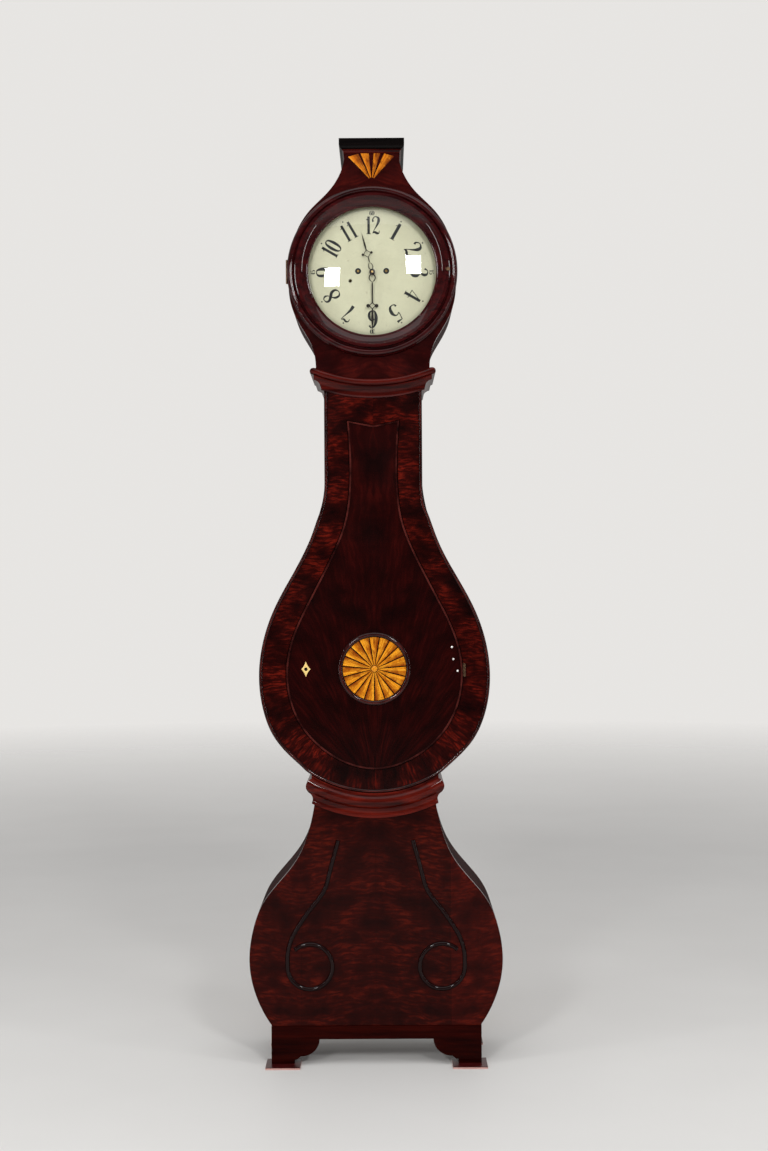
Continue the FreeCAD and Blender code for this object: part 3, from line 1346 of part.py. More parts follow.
def make_going_train():
    thick = s.wheel_thickness
    great_y = s.plate_inner_y + s.great_wheel_setback
    centre_y = s.plate_inner_y + s.centre_wheel_setback
    third_y = s.plate_inner_y + s.third_wheel_setback
    escape_y = s.plate_inner_y + s.escape_wheel_setback
    back = s.plate_back_y
    hang = s.pinion_overhang
    wide = thick + 2 * hang

    great = gear(GREAT_TEETH, going_module, s.winding_reach, s.winding_z, great_y, thick,
                 mesh_phase(GREAT_TEETH, great_bearing + math.pi, True))
    feature("going_great_wheel", great.cut(post(s.arbor_radius + 2 * s.pivot_clearance, 3 * thick,
                                                s.winding_reach, great_y - thick, s.winding_z)))

    cannon = gear(CANNON_TEETH, motion_module, 0, s.dial_height, s.motion_y, thick,
                  mesh_phase(CANNON_TEETH, math.pi, True))
    hand_y = s.dial_front_y - s.minute_hand_step - s.hand_thickness
    wheel_on_arbor("centre_wheel", 0, s.dial_height, [
        (CENTRE_PINION_LEAVES, going_module, great_y - hang, wide,
         mesh_phase(CENTRE_PINION_LEAVES, great_bearing, False)),
        (CENTRE_TEETH, centre_module, centre_y, thick, mesh_phase(CENTRE_TEETH, 0, True)),
    ], hand_y - s.hand_thickness, back, s.arbor_radius - s.pivot_clearance, [cannon])

    wheel_on_arbor("third_wheel", 0, third_z, [
        (THIRD_PINION_LEAVES, centre_module, centre_y - hang, wide,
         mesh_phase(THIRD_PINION_LEAVES, math.pi, False)),
        (THIRD_TEETH, third_module, third_y, thick, mesh_phase(THIRD_TEETH, 0, True)),
    ], s.plate_front_y, back, s.pivot_radius)

    escape_tip = s.pallet_rise - (escape_z - s.dial_height)
    escape_radius = ESCAPE_REACH_SHARE * escape_tip
    points = []
    for index in range(2 * ESCAPE_TEETH):
        angle = math.pi * (index - 1) / ESCAPE_TEETH
        reach = escape_radius if index % 2 else ESCAPE_ROOT_SHARE * escape_radius
        points.append((reach * math.sin(angle), escape_z + reach * math.cos(angle)))
    escape = plate_of(points, escape_y, thick / 2)
    wheel_on_arbor("escape_wheel", 0, escape_z, [
        (ESCAPE_PINION_LEAVES, third_module, third_y - hang, wide,
         mesh_phase(ESCAPE_PINION_LEAVES, math.pi, False)),
    ], s.plate_front_y, back, s.pivot_radius, [escape])

    pipe = s.arbor_radius + s.pivot_clearance
    hour_front = s.dial_front_y - s.hour_hand_step - s.hand_thickness
    hour = gear(HOUR_TEETH, hour_module, 0, s.dial_height, hour_y, thick / 2,
                mesh_phase(HOUR_TEETH, math.pi, True))
    hour = hour.fuse(post(2 * s.arbor_radius - s.pivot_clearance, hour_y - hour_front + thick, 0, hour_front,
                          s.dial_height))
    bore = post(pipe, 2 * (hour_y - hour_front), 0, hour_front - thick, s.dial_height)
    feature("hour_wheel", hour.cut(bore))

    minute = gear(CANNON_TEETH, motion_module, 0, minute_z, s.motion_y, thick,
                  mesh_phase(CANNON_TEETH, 0, False))
    minute = minute.fuse(gear(MINUTE_PINION_LEAVES, hour_module, 0, minute_z, hour_y - thick / 6,
                              s.motion_y - hour_y + thick / 6 + thick / 4,
                              mesh_phase(MINUTE_PINION_LEAVES, 0, False)))
    hole = post(s.pivot_radius + s.pivot_clearance, 8 * thick, 0, hour_y - 4 * thick, minute_z)
    feature("minute_wheel", minute.cut(hole).removeSplitter())


def make_pallets():
    """Anchor with two pallets over the escape wheel, its arbor, and the crutch behind."""
    thick = s.wheel_thickness
    y = s.plate_inner_y + s.escape_wheel_setback - thick / 4
    escape_tip = s.pallet_rise - (escape_z - s.dial_height)
    reach = ESCAPE_REACH_SHARE * escape_tip + s.pallet_clearance
    spread = math.radians(44)
    px, pz = (reach + thick / 2) * math.sin(spread), escape_z + (reach + thick / 2) * math.cos(spread)
    crutch_y = s.plate_back_y + s.crutch_gap
    pieces = [post(s.pivot_radius, crutch_y + thick - s.plate_front_y, 0, s.plate_front_y, s.pallet_z),
              post(2 * thick, thick, 0, y, s.pallet_z)]
    for side in (-1, 1):
        pieces.append(plate_of([(0, s.pallet_z + thick), (side * (px + thick / 2), pz + thick),
                                (side * (px + thick / 2), pz - thick / 2), (side * (px - thick / 2), pz),
                                (0, s.pallet_z - thick)], y, thick))
    pieces.append(block(-thick / 2, thick / 2, crutch_y, crutch_y + thick / 2, s.pallet_z - s.crutch_length,
                        s.pallet_z + CRUTCH_TOP_SHARE * thick))
    fork = s.rod_radius + s.fork_clearance
    low = s.pallet_z - s.crutch_length
    wide = fork + thick / 2
    pieces.append(block(-wide, wide, crutch_y, crutch_y + thick / 2, low - thick, low))
    for side in (-1, 1):
        edges = sorted((side * fork, side * wide))
        pieces.append(block(edges[0], edges[1], crutch_y, s.rod_y + 2 * s.rod_radius, low - thick, low))
    feature("pallet_anchor", fused(pieces))


def make_barrels():
    """Drums for the lines, each on an arbor that ends in a winding square behind the dial."""
    for name, side in (("strike", -1), ("going", 1)):
        x = side * s.winding_reach
        square = 0.7 * s.arbor_radius
        front = s.dial_front_y - s.dial_thickness
        pieces = [
            post(s.arbor_radius, s.plate_back_y - s.plate_front_y, x, s.plate_front_y, s.winding_z),
            block(x - square, x + square, front, s.plate_front_y, s.winding_z - square, s.winding_z + square),
            post(s.drum_radius, s.drum_length, x, s.drum_y, s.winding_z),
            post(s.drum_flange, s.plate_thickness / 2, x, s.drum_y - s.plate_thickness / 2, s.winding_z),
            post(s.drum_flange, s.plate_thickness / 2, x, s.drum_y + s.drum_length, s.winding_z),
        ]
        feature(f"{name}_barrel", fused(pieces))


def make_strike_train():
    thick = s.wheel_thickness
    hang = s.pinion_overhang
    wide = thick + 2 * hang
    great_y = s.plate_inner_y + s.great_wheel_setback
    pin_y = s.plate_inner_y + s.centre_wheel_setback
    great = gear(STRIKE_GREAT_TEETH, great_module, -s.winding_reach, s.winding_z, great_y, thick,
                 mesh_phase(STRIKE_GREAT_TEETH, pin_bearing, True))
    feature("strike_great_wheel", great.cut(post(s.arbor_radius + 2 * s.pivot_clearance, 3 * thick,
                                                 -s.winding_reach, great_y - thick, s.winding_z)))
    pins = []
    circle = PIN_CIRCLE_SHARE * centre_module * PIN_WHEEL_TEETH
    for index in range(STRIKE_PINS):
        angle = 2 * math.pi * index / STRIKE_PINS
        pins.append(post(thick / 3, 2 * thick, pin_x + circle * math.sin(angle), pin_y + thick / 2,
                         pin_z + circle * math.cos(angle)))
    wheel_on_arbor("pin_wheel", pin_x, pin_z, [
        (PIN_WHEEL_PINION_LEAVES, great_module, great_y - hang, wide,
         mesh_phase(PIN_WHEEL_PINION_LEAVES, pin_bearing + math.pi, False)),
        (PIN_WHEEL_TEETH, centre_module, pin_y, thick, mesh_phase(PIN_WHEEL_TEETH, fly_bearing, True)),
    ], s.plate_front_y, s.plate_back_y, s.pivot_radius, pins)

    vane_y = s.drum_y
    vane = block(fly_x - s.fly_half, fly_x + s.fly_half, vane_y, vane_y + s.fly_length,
                 fly_z - s.fly_thickness / 2, fly_z + s.fly_thickness / 2)
    wheel_on_arbor("fly", fly_x, fly_z, [
        (FLY_PINION_LEAVES, centre_module, pin_y - hang, wide,
         mesh_phase(FLY_PINION_LEAVES, fly_bearing + math.pi, False)),
    ], s.plate_front_y, s.plate_back_y, s.pivot_radius, [vane])


def make_bell():
    """Bell on a stand over the movement, and the hammer beside its rim."""
    x, y, rim_z = s.bell_reach, s.line_y, s.plate_top + s.bell_lift
    tall, radius, wall = s.bell_height, s.bell_radius, s.bell_wall
    outer = [(across * radius, up * tall) for across, up in BELL_SHARES]
    inner = [(across * (radius - wall), up * (tall - wall)) for across, up in BELL_SHARES]
    curves = [spline(outer, (0, 1), (-1, 0)), spline(inner, (0, 1), (-1, 0)),
              line(outer[0], inner[0]), line(outer[-1], inner[-1])]
    face = Part.Face(on_plane(curves, y))
    face.translate(Vector(x, 0, rim_z))
    bell = face.revolve(Vector(x, y, rim_z), Vector(0, 0, 1), 360)
    arm_z = rim_z + tall
    stem = s.pillar_radius
    top = arm_z + s.plate_thickness
    root_z = s.plate_top - 3 * stem
    stand = fused([
        block(x - stem, x + stem, s.plate_back_y, s.plate_back_y + s.plate_thickness, root_z, top),
        block(x - stem, x + stem, y - stem, s.plate_back_y + s.plate_thickness, arm_z, top),
    ])
    feature("bell", Part.makeCompound([bell, stand]))

    head_x = x - radius - s.hammer_gap - s.hammer_head_length
    head_z = rim_z + s.hammer_head / 2
    head = post(s.hammer_head, s.hammer_head_length, head_x, y, head_z, Vector(1, 0, 0))
    grip = Vector(head_x + s.hammer_head_length / 3, y, head_z)
    base = Vector(hammer_x, y, hammer_z)
    shaft = Part.makeCylinder(0.75 * s.pivot_radius, (grip - base).Length, base, grip - base)
    arbor = post(s.pivot_radius, s.plate_back_y - s.plate_front_y, hammer_x, s.plate_front_y, hammer_z)
    tail_y = s.plate_inner_y + s.centre_wheel_setback + 2 * s.wheel_thickness
    tail = plate_of([(hammer_x - 2 * s.pivot_radius, hammer_z + s.pivot_radius),
                     (hammer_x + 2 * s.pivot_radius, hammer_z + s.pivot_radius),
                     (hammer_x + s.pivot_radius, hammer_z - 5 * s.pivot_radius),
                     (hammer_x - s.pivot_radius, hammer_z - 5 * s.pivot_radius)], tail_y, s.pivot_radius)
    feature("hammer", fused([head, shaft, arbor, tail]))


# Pendulum, weights and lines

def make_pendulum():
    thick = s.wheel_thickness
    cock_z = s.pallet_z + thick
    slot_half = s.strip_width / 2 + s.hood_clearance
    bracket = block(-4 * thick, 4 * thick, s.plate_back_y, s.rod_y + 3 * thick, cock_z, cock_z + 3 * thick)
    sway = 2 * thick * math.tan(math.radians(2 * s.pendulum_swing)) + s.strip_thickness
    slot = block(-sway, sway, s.rod_y - slot_half, s.rod_y + slot_half, cock_z - thick, cock_z + 4 * thick)
    feature("pendulum_cock", bracket.cut(slot))

    strip_low = s.pallet_z - s.strip_length
    strip = block(-s.strip_thickness / 2, s.strip_thickness / 2, s.rod_y - s.strip_width / 2,
                  s.rod_y + s.strip_width / 2, strip_low - thick, cock_z + 2 * thick)
    chop_half = s.strip_width / 2 + s.chop_overhang
    chops = block(-s.rod_radius, s.rod_radius, s.rod_y - chop_half, s.rod_y + chop_half,
                  strip_low - 2 * thick, strip_low)
    rod = post(s.rod_radius, s.rod_end - s.strip_length - thick, 0, s.rod_y, s.pallet_z - s.rod_end,
               Vector(0, 0, 1))
    nut_top = s.bob_z - s.bob_radius
    nut = post(s.rating_nut, s.rating_nut_height, 0, s.rod_y, nut_top - s.rating_nut_height, Vector(0, 0, 1))
    feature("pendulum_rod", fused([strip, chops, rod, nut]))

    half, rim, radius = s.bob_thickness / 2, s.bob_thickness / 8, s.bob_radius
    belly = rim + dome_height(radius, half - rim, radius / 2)
    profile = [
        line((0, -half), (0, half)), arc((0, half), (radius / 2, belly), (radius, rim)),
        line((radius, rim), (radius, -rim)), arc((radius, -rim), (radius / 2, -belly), (0, -half)),
    ]
    turned("pendulum_bob", profile, "Sizes.rod_y", "Sizes.bob_z")
    bore = doc.addObject("Part::Cylinder", "rod_bore")
    bind(bore, Radius="Sizes.rod_radius + Sizes.pivot_clearance", Height="4 * Sizes.bob_radius",
         y="Sizes.rod_y", z="Sizes.bob_z - 2 * Sizes.bob_radius")
    cut_from("pendulum_bob", bore)


def make_weights():
    """Iron weights low in the case, each hung straight on its line."""
    radius, tall, hook = s.weight_radius, s.weight_height, s.weight_hook
    body_top = s.weight_bottom + tall
    shoulder = WEIGHT_SHOULDER_SHARE * tall
    for name, side in (("left", -1), ("right", 1)):
        x = side * (s.winding_reach + s.line_offset)
        profile = [(0, s.weight_bottom), (radius, s.weight_bottom), (radius, body_top - shoulder),
                   (hook, body_top), (0, body_top)]
        corners = [Vector(x + reach, s.line_y, z) for reach, z in profile]
        knee = Vector(x + WEIGHT_KNEE_SHARES[0] * radius, s.line_y,
                      body_top - shoulder + WEIGHT_KNEE_SHARES[1] * shoulder)
        edges = [Part.LineSegment(corners[0], corners[1]), Part.LineSegment(corners[1], corners[2]),
                 Part.Arc(corners[2], knee, corners[3]), Part.LineSegment(corners[3], corners[4]),
                 Part.LineSegment(corners[4], corners[0])]
        wire = Part.Wire([edge.toShape() for edge in edges])
        iron = Part.Face(wire).revolve(corners[0], Vector(0, 0, 1), 360)
        eye_z = body_top + hook
        eye = Part.makeTorus(hook, s.line_radius, Vector(x, s.line_y, eye_z), Vector(0, 1, 0))
        feature(f"weight_{name}", fused([iron, eye]))
        foot_z = eye_z + hook + s.line_radius + s.hood_clearance
        knot = Part.makeSphere(2 * s.line_radius, Vector(x, s.line_y, foot_z + 2 * s.line_radius))
        cord = post(s.line_radius, s.winding_z - foot_z, x, s.line_y, foot_z, Vector(0, 0, 1))
        feature(f"line_{name}", fused([cord, knot]))


def let_in_hinge(nails, frame_leaf):
    """Nail holes and a keyhole through the door panel, and a mortise for the frame's leaf."""
    holes = doc.addObject("Part::Feature", "nail_holes")
    holes.Shape = Part.makeCompound(nails)
    cut_from("door_panel", holes)
    keyhole = doc.addObject("Part::Cylinder", "keyhole")
    keyhole.Placement = Placement(Vector(), Rotation(Vector(1, 0, 0), -90))
    bind(keyhole, Radius="Sizes.keyhole_radius", Height="2 * Sizes.front_board",
         x="-Sizes.escutcheon_reach", y=f"{FRONT} - Sizes.front_board / 2", z="Sizes.medallion_height")
    cut_from("door_panel", keyhole)
    mortise = doc.addObject("Part::Feature", "hinge_mortise")
    mortise.Shape = frame_leaf
    cut_from("trunk_front_frame", mortise)


def relieve_cheeks():
    """Set the cheeks back from the hood's front board, so that the hood slides on freely."""
    for name in ("right", "left"):
        room = doc.addObject("Part::Box", f"cheek_relief_{name}")
        bind(room, Length="2 * Sizes.neck_half", Width="Sizes.hood_clearance",
             Height="Sizes.seat_height - Sizes.hood_split_height", x="-Sizes.neck_half",
             y=f"{FRONT} + Sizes.front_board", z="Sizes.hood_split_height")
        cut_from(f"trunk_side_{name}", room)


make_pads()
make_feet()
make_plinth()
make_base()
make_saddle()
make_scrolls()
make_trunk()
make_trunk_backboard()
make_trunk_bead()
make_throat()
make_seatboard()
make_door()
make_rays()
make_lock()
let_in_hinge(*make_door_hinge())
relieve_cheeks()
make_hood()
make_hood_bead()
make_cap()
make_fan()
make_bezel()
make_bezel_hinge()
make_latch()
make_dial()
make_hands()
make_movement_frame()
make_going_train()
make_pallets()
make_barrels()
make_strike_train()
make_bell()
make_pendulum()
make_weights()

doc.recompute()
faulty = [thing.Label for thing in doc.Objects if {"Invalid", "Error"} & set(thing.State)]
if faulty:
    raise RuntimeError(f"objects that failed: {faulty}")
for thing in nodes:
    if thing.Shape.isNull() or not thing.Shape.isValid():
        raise RuntimeError(f"{thing.Label} has no valid shape")

os.makedirs("parts", exist_ok=True)
for thing in nodes:
    thing.Shape.exportStep(f"parts/{thing.Label}.step")
print(f"{len(nodes)} sub-parts written")
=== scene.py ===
import math

import bpy
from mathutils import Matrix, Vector


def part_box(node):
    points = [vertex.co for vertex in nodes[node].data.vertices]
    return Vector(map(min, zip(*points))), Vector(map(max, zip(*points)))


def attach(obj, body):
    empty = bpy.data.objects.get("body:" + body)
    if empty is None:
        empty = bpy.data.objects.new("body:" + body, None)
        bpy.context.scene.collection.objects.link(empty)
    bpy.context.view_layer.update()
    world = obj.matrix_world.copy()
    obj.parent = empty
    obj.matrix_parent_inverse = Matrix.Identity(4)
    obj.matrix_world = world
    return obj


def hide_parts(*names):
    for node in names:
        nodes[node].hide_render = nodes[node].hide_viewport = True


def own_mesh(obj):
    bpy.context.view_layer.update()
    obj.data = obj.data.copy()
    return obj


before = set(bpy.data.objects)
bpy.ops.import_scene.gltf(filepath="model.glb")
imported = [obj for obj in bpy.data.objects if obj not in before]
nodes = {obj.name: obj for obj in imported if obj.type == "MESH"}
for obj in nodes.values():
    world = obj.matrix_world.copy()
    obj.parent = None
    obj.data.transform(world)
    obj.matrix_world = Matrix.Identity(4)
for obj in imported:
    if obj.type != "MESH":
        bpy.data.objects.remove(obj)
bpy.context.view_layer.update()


def middle(node, axis):
    low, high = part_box(node)
    return (low[axis] + high[axis]) / 2


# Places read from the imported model

FRONT_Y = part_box("hood_front_board")[0][1]
DIAL_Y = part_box("dial_plate")[0][1]
DIAL_Z = middle("dial_plate", 2)
WINDING_X = middle("going_barrel", 0)
WINDING_Z = middle("going_barrel", 2)
MEDALLION_Z = middle("medallion_rays", 2)
CAP_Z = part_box("cap")[0][2]

# Sizes and places of the looks, in metres

PEAR_Z = 0.876
PEAR_RADIUS = 0.26
OTHER_SIDE = 3.1
FEATHER_Z = 0.62
BASE_LEAF = 0.17
HOOD_LEAF = 0.4
PAD_STAIN_Z = 0.0042
RAY_COUNT = 19
BUTTON_RADIUS = 0.0065
FAN_COUNT = 16.36
FAN_DROP = 0.072
DIAL_SHADE_RIM = (0.134, 0.147)

# Figures and marks on the dial

INK_LIFT = 0.0002
HOUR_REACH, HOUR_TALL = 0.087, 0.040
MINUTE_REACH, MINUTE_TALL = 0.1300, 0.0095
DOT_REACH, DOT_RADIUS = 0.1325, 0.0017
# Rings of painted shade at the winding holes: lift off the dial, inner and outer radius
HOLE_SHADE_LIFT = 0.0003
HOLE_SHADE_INNER, HOLE_SHADE_OUTER = 0.0034, 0.0068

# Nail heads beside the door's hinge, as x and z, and their dome as radius and rise

NAILS = ((0.1885, 0.8930), (0.1789, 0.9196), (0.1760, 0.9469))
NAIL_DOME = ((0.0026, 0.0003), (0.0025, 0.0008), (0.0021, 0.0014), (0.0014, 0.0018), (0.0005, 0.0020))

# Fillet under the cap: half the hood's width there, its depth, and a profile as reach and drop

FILLET_HALF = 0.0620
FILLET_DEPTH = 0.2180
FILLET_PROFILE = ((0.0, -0.0085), (0.0012, -0.0085), (0.0014, -0.0062), (0.0022, -0.0042),
                  (0.0038, -0.0026), (0.0055, -0.0019), (0.0055, -0.0002), (0.0, -0.0002))

# Weight lines and their knots

LINE_RADIUS = 0.001
LINE_STEP = 0.005
STRANDS = 3
STRAND_TURN = 0.7
KNOT_RADIUS = 0.0008
LOOP_RADIUS = 0.0023
LOOP_POINTS = 16
COIL_RADIUS = 0.0013
COIL_LIFT = 0.0022
COIL_TURN = 0.7
COIL_RISE = 0.00018
COIL_POINTS = 28


# Shader graphs

class Net:
    """A material under construction; sockets and numbers mix freely as inputs."""

    def __init__(self, name):
        self.mat = bpy.data.materials.new(name)
        self.mat.use_nodes = True
        self.tree = self.mat.node_tree
        self.bsdf = next(n for n in self.tree.nodes if n.type == "BSDF_PRINCIPLED")
        self.out = next(n for n in self.tree.nodes if n.type == "OUTPUT_MATERIAL")
        coordinates = self.node("ShaderNodeTexCoord")
        self.place, self.normal = coordinates.outputs["Object"], coordinates.outputs["Normal"]

    def node(self, kind, **props):
        made = self.tree.nodes.new(kind)
        for name, value in props.items():
            setattr(made, name, value)
        return made

    def feed(self, socket, value):
        if isinstance(value, bpy.types.NodeSocket):
            self.tree.links.new(value, socket)
        else:
            socket.default_value = value

    def math(self, operation, a, b=0.0, c=0.0, clamp=False):
        made = self.node("ShaderNodeMath", operation=operation, use_clamp=clamp)
        for socket, value in zip(made.inputs, (a, b, c)):
            self.feed(socket, value)
        return made.outputs[0]

    def add(self, a, b):
        return self.math("ADD", a, b)

    def sub(self, a, b):
        return self.math("SUBTRACT", a, b)

    def mul(self, a, b):
        return self.math("MULTIPLY", a, b)

    def split(self, vector):
        made = self.node("ShaderNodeSeparateXYZ")
        self.feed(made.inputs[0], vector)
        return made.outputs

    def join(self, x, y, z):
        made = self.node("ShaderNodeCombineXYZ")
        for socket, value in zip(made.inputs, (x, y, z)):
            self.feed(socket, value)
        return made.outputs[0]

    def noise(self, vector, scale, detail=3.0, rough=0.55, bend=0.0):
        made = self.node("ShaderNodeTexNoise")
        self.feed(made.inputs["Vector"], vector)
        made.inputs["Scale"].default_value = scale
        made.inputs["Detail"].default_value = detail
        made.inputs["Roughness"].default_value = rough
        made.inputs["Distortion"].default_value = bend
        return made.outputs["Fac"]

    def shaken(self, vector, scale, amount):
        """The vector, pushed about by a noise of its own."""
        made = self.node("ShaderNodeTexNoise")
        self.feed(made.inputs["Vector"], vector)
        made.inputs["Scale"].default_value = scale
        shift = self.node("ShaderNodeVectorMath", operation="MULTIPLY_ADD")
        self.feed(shift.inputs[0], made.outputs["Color"])
        shift.inputs[1].default_value = (amount, amount, amount)
        self.feed(shift.inputs[2], vector)
        return shift.outputs[0]

    def cells(self, vector, scale, feature="F1"):
        made = self.node("ShaderNodeTexVoronoi", feature=feature)
        self.feed(made.inputs["Vector"], vector)
        made.inputs["Scale"].default_value = scale
        return made.outputs["Distance"]

    def ramp(self, fac, stops):
        made = self.node("ShaderNodeValToRGB")
        self.feed(made.inputs[0], fac)
        ramp = made.color_ramp
        ramp.elements[0].position, ramp.elements[0].color = stops[0][0], (*stops[0][1], 1)
        ramp.elements[1].position, ramp.elements[1].color = stops[-1][0], (*stops[-1][1], 1)
        for place, colour in stops[1:-1]:
            ramp.elements.new(place).color = (*colour, 1)
        return made.outputs["Color"]

    def remap(self, value, low, high, to_low=0.0, to_high=1.0):
        made = self.node("ShaderNodeMapRange")
        for socket, number in zip(made.inputs, (value, low, high, to_low, to_high)):
            self.feed(socket, number)
        return made.outputs[0]

    def mix(self, fac, a, b, blend="MIX"):
        made = self.node("ShaderNodeMix", data_type="RGBA", blend_type=blend)
        self.feed(made.inputs[0], fac)
        for socket, colour in ((made.inputs[6], a), (made.inputs[7], b)):
            self.feed(socket, colour if isinstance(colour, bpy.types.NodeSocket) else (*colour, 1))
        return made.outputs[2]

    def bump(self, height, strength, distance):
        made = self.node("ShaderNodeBump")
        self.feed(made.inputs["Height"], height)
        made.inputs["Strength"].default_value = strength
        made.inputs["Distance"].default_value = distance
        self.feed(self.bsdf.inputs["Normal"], made.outputs[0])

    def finish(self, colour, rough, metal=0.0, coat=0.0, coat_rough=0.04, specular=0.5):
        self.feed(self.bsdf.inputs["Base Color"], colour)
        self.feed(self.bsdf.inputs["Roughness"], rough)
        self.feed(self.bsdf.inputs["Metallic"], metal)
        self.feed(self.bsdf.inputs["Coat Weight"], coat)
        self.feed(self.bsdf.inputs["Coat Roughness"], coat_rough)
        self.feed(self.bsdf.inputs["Specular IOR Level"], specular)
        return self.mat


def polish(net, low=0.13, high=0.24):
    """Roughness of an old polish, applied by hand with a rubber: hazy patches and fine rubbing marks."""
    x, y, z = net.split(net.place)
    haze = net.noise(net.place, 9.0, 4.0)
    rub = net.noise(net.join(net.mul(x, 40.0), 0.0, net.mul(z, 900.0)), 1.0, 2.0)
    return net.add(net.remap(haze, 0.3, 0.75, low, high), net.mul(rub, 0.04))


def deep(colour, share=0.3):
    return tuple(share * part for part in colour)


def veneer(name, along, across, tones, strength, ripples=190.0, streak=40.0, leaf=0.0, shadow=0.5,
           coat=0.15, rough=(0.13, 0.24), specular=0.04):
    """Figured mahogany: along counts the ripples, across runs with the fibres."""
    dark, middle, bright = tones
    net = Net(name)
    u, v = along(net), across(net)
    u = net.add(u, net.mul(net.sub(net.noise(net.place, 14.0, 2.0), 0.5), 0.02))
    cloud = net.noise(net.join(net.mul(u, 20.0), net.mul(v, 12.0), 0.0), 1.0, 4.0)
    ripple = net.noise(net.join(net.mul(u, ripples), net.mul(v, streak), 0.0), 1.0, 3.0, 0.55, 0.4)
    pores = net.noise(net.join(net.mul(u, 500.0), net.mul(v, 2600.0), 0.0), 1.0, 2.0, 0.7)
    colour = net.ramp(net.remap(cloud, 0.34, 0.66), [(0.0, dark), (1.0, middle)])
    if leaf:
        x = net.split(net.place)[0]
        sheet = net.noise(net.join(net.math("FLOOR", net.mul(x, 1 / leaf)), 0.5, 0.5), 7.3, 0.0)
        shade = net.remap(sheet, 0.3, 0.7, 0.55, 1.15)
        colour = net.mix(1.0, colour, net.join(shade, shade, shade), "MULTIPLY")
        seam = net.math("PINGPONG", x, leaf / 2)
        colour = net.mix(net.remap(seam, 0.0, 0.0006, 0.6, 0.0), colour, deep(dark))
    lit = net.mul(net.remap(ripple, 0.48, 0.68), net.remap(cloud, 0.44, 0.62))
    colour = net.mix(net.mul(lit, strength), colour, bright)
    shade = net.remap(ripple, 0.30, 0.50, shadow, 1.0)
    colour = net.mix(1.0, colour, net.join(shade, shade, shade), "MULTIPLY")
    colour = net.mix(net.remap(pores, 0.58, 0.75, 0.0, 0.5), colour, deep(dark))
    net.bump(net.add(net.mul(pores, 0.3), net.noise(net.place, 60.0, 2.0)), 0.04, 0.0005)
    return net.finish(colour, polish(net, *rough), coat=coat, specular=specular)


def edge_run(net):
    """Distance along the trunk's edge: up the neck, then around the foot of the pear."""
    x, y, z = net.split(net.place)
    low = net.sub(PEAR_Z, z)
    around = net.math("ARCTAN2", net.math("MAXIMUM", low, 0.0), net.math("ABSOLUTE", x))
    climb = net.math("MAXIMUM", net.mul(low, -1.0), 0.0)
    run = net.sub(climb, net.mul(around, PEAR_RADIUS))
    return net.add(run, net.mul(net.math("SIGN", x), OTHER_SIDE))


def edge_reach(net):
    """Distance from the middle of the pear, along the fibres of the frame's veneer."""
    x, y, z = net.split(net.place)
    low = net.math("MAXIMUM", net.sub(PEAR_Z, z), 0.0)
    return net.math("POWER", net.add(net.mul(x, x), net.mul(low, low)), 0.5)


def book_run(slope, leaf):
    """Height that climbs away from each seam between mirrored leaves."""
    def run(net):
        x, y, z = net.split(net.place)
        return net.add(z, net.mul(net.math("PINGPONG", x, leaf), slope))
    return run


def book_reach(leaf):
    """Distance from the nearest seam between mirrored leaves."""
    def reach(net):
        return net.math("PINGPONG", net.split(net.place)[0], leaf)
    return reach


def feather_run(net):
    """Turn around a point at the foot of the door, where the feathered figure starts."""
    x, y, z = net.split(net.place)
    return net.mul(net.math("ARCTAN2", net.math("ABSOLUTE", x), net.sub(z, FEATHER_Z)), 0.35)


def height_run(net):
    return net.split(net.place)[2]


def depth_run(net):
    x, y, z = net.split(net.place)
    return net.add(y, net.mul(z, 0.03))


DARK = (0.0055, 0.0005, 0.0004)

materials = {
    "frame": veneer("frame_flame", edge_run, edge_reach,
                    (DARK, (0.034, 0.0020, 0.0012), (0.22, 0.013, 0.005)), 0.55),
    "door": veneer("door_feather", feather_run, height_run,
                   (DARK, (0.017, 0.0010, 0.0008), (0.060, 0.004, 0.0025)), 0.35,
                   ripples=130.0, streak=9.0, shadow=0.7),
    "base": veneer("base_flame", book_run(0.12, BASE_LEAF), book_reach(BASE_LEAF),
                   ((0.018, 0.0010, 0.0005), (0.056, 0.0034, 0.0016), (0.19, 0.015, 0.005)), 0.3,
                   ripples=150.0, streak=34.0, leaf=BASE_LEAF, shadow=0.7, coat=0.05),
    "hood": veneer("hood_flame", book_run(0.3, HOOD_LEAF), book_reach(HOOD_LEAF),
                   ((0.014, 0.0010, 0.0009), (0.036, 0.0026, 0.0022), (0.12, 0.010, 0.005)), 0.3,
                   ripples=120.0, streak=26.0, shadow=0.7, coat=0.1),
    "side": veneer("side_grain", depth_run, height_run,
                   (DARK, (0.036, 0.0026, 0.0014), (0.09, 0.008, 0.004)), 0.35,
                   coat=0.06, rough=(0.28, 0.42), specular=0.0),
}


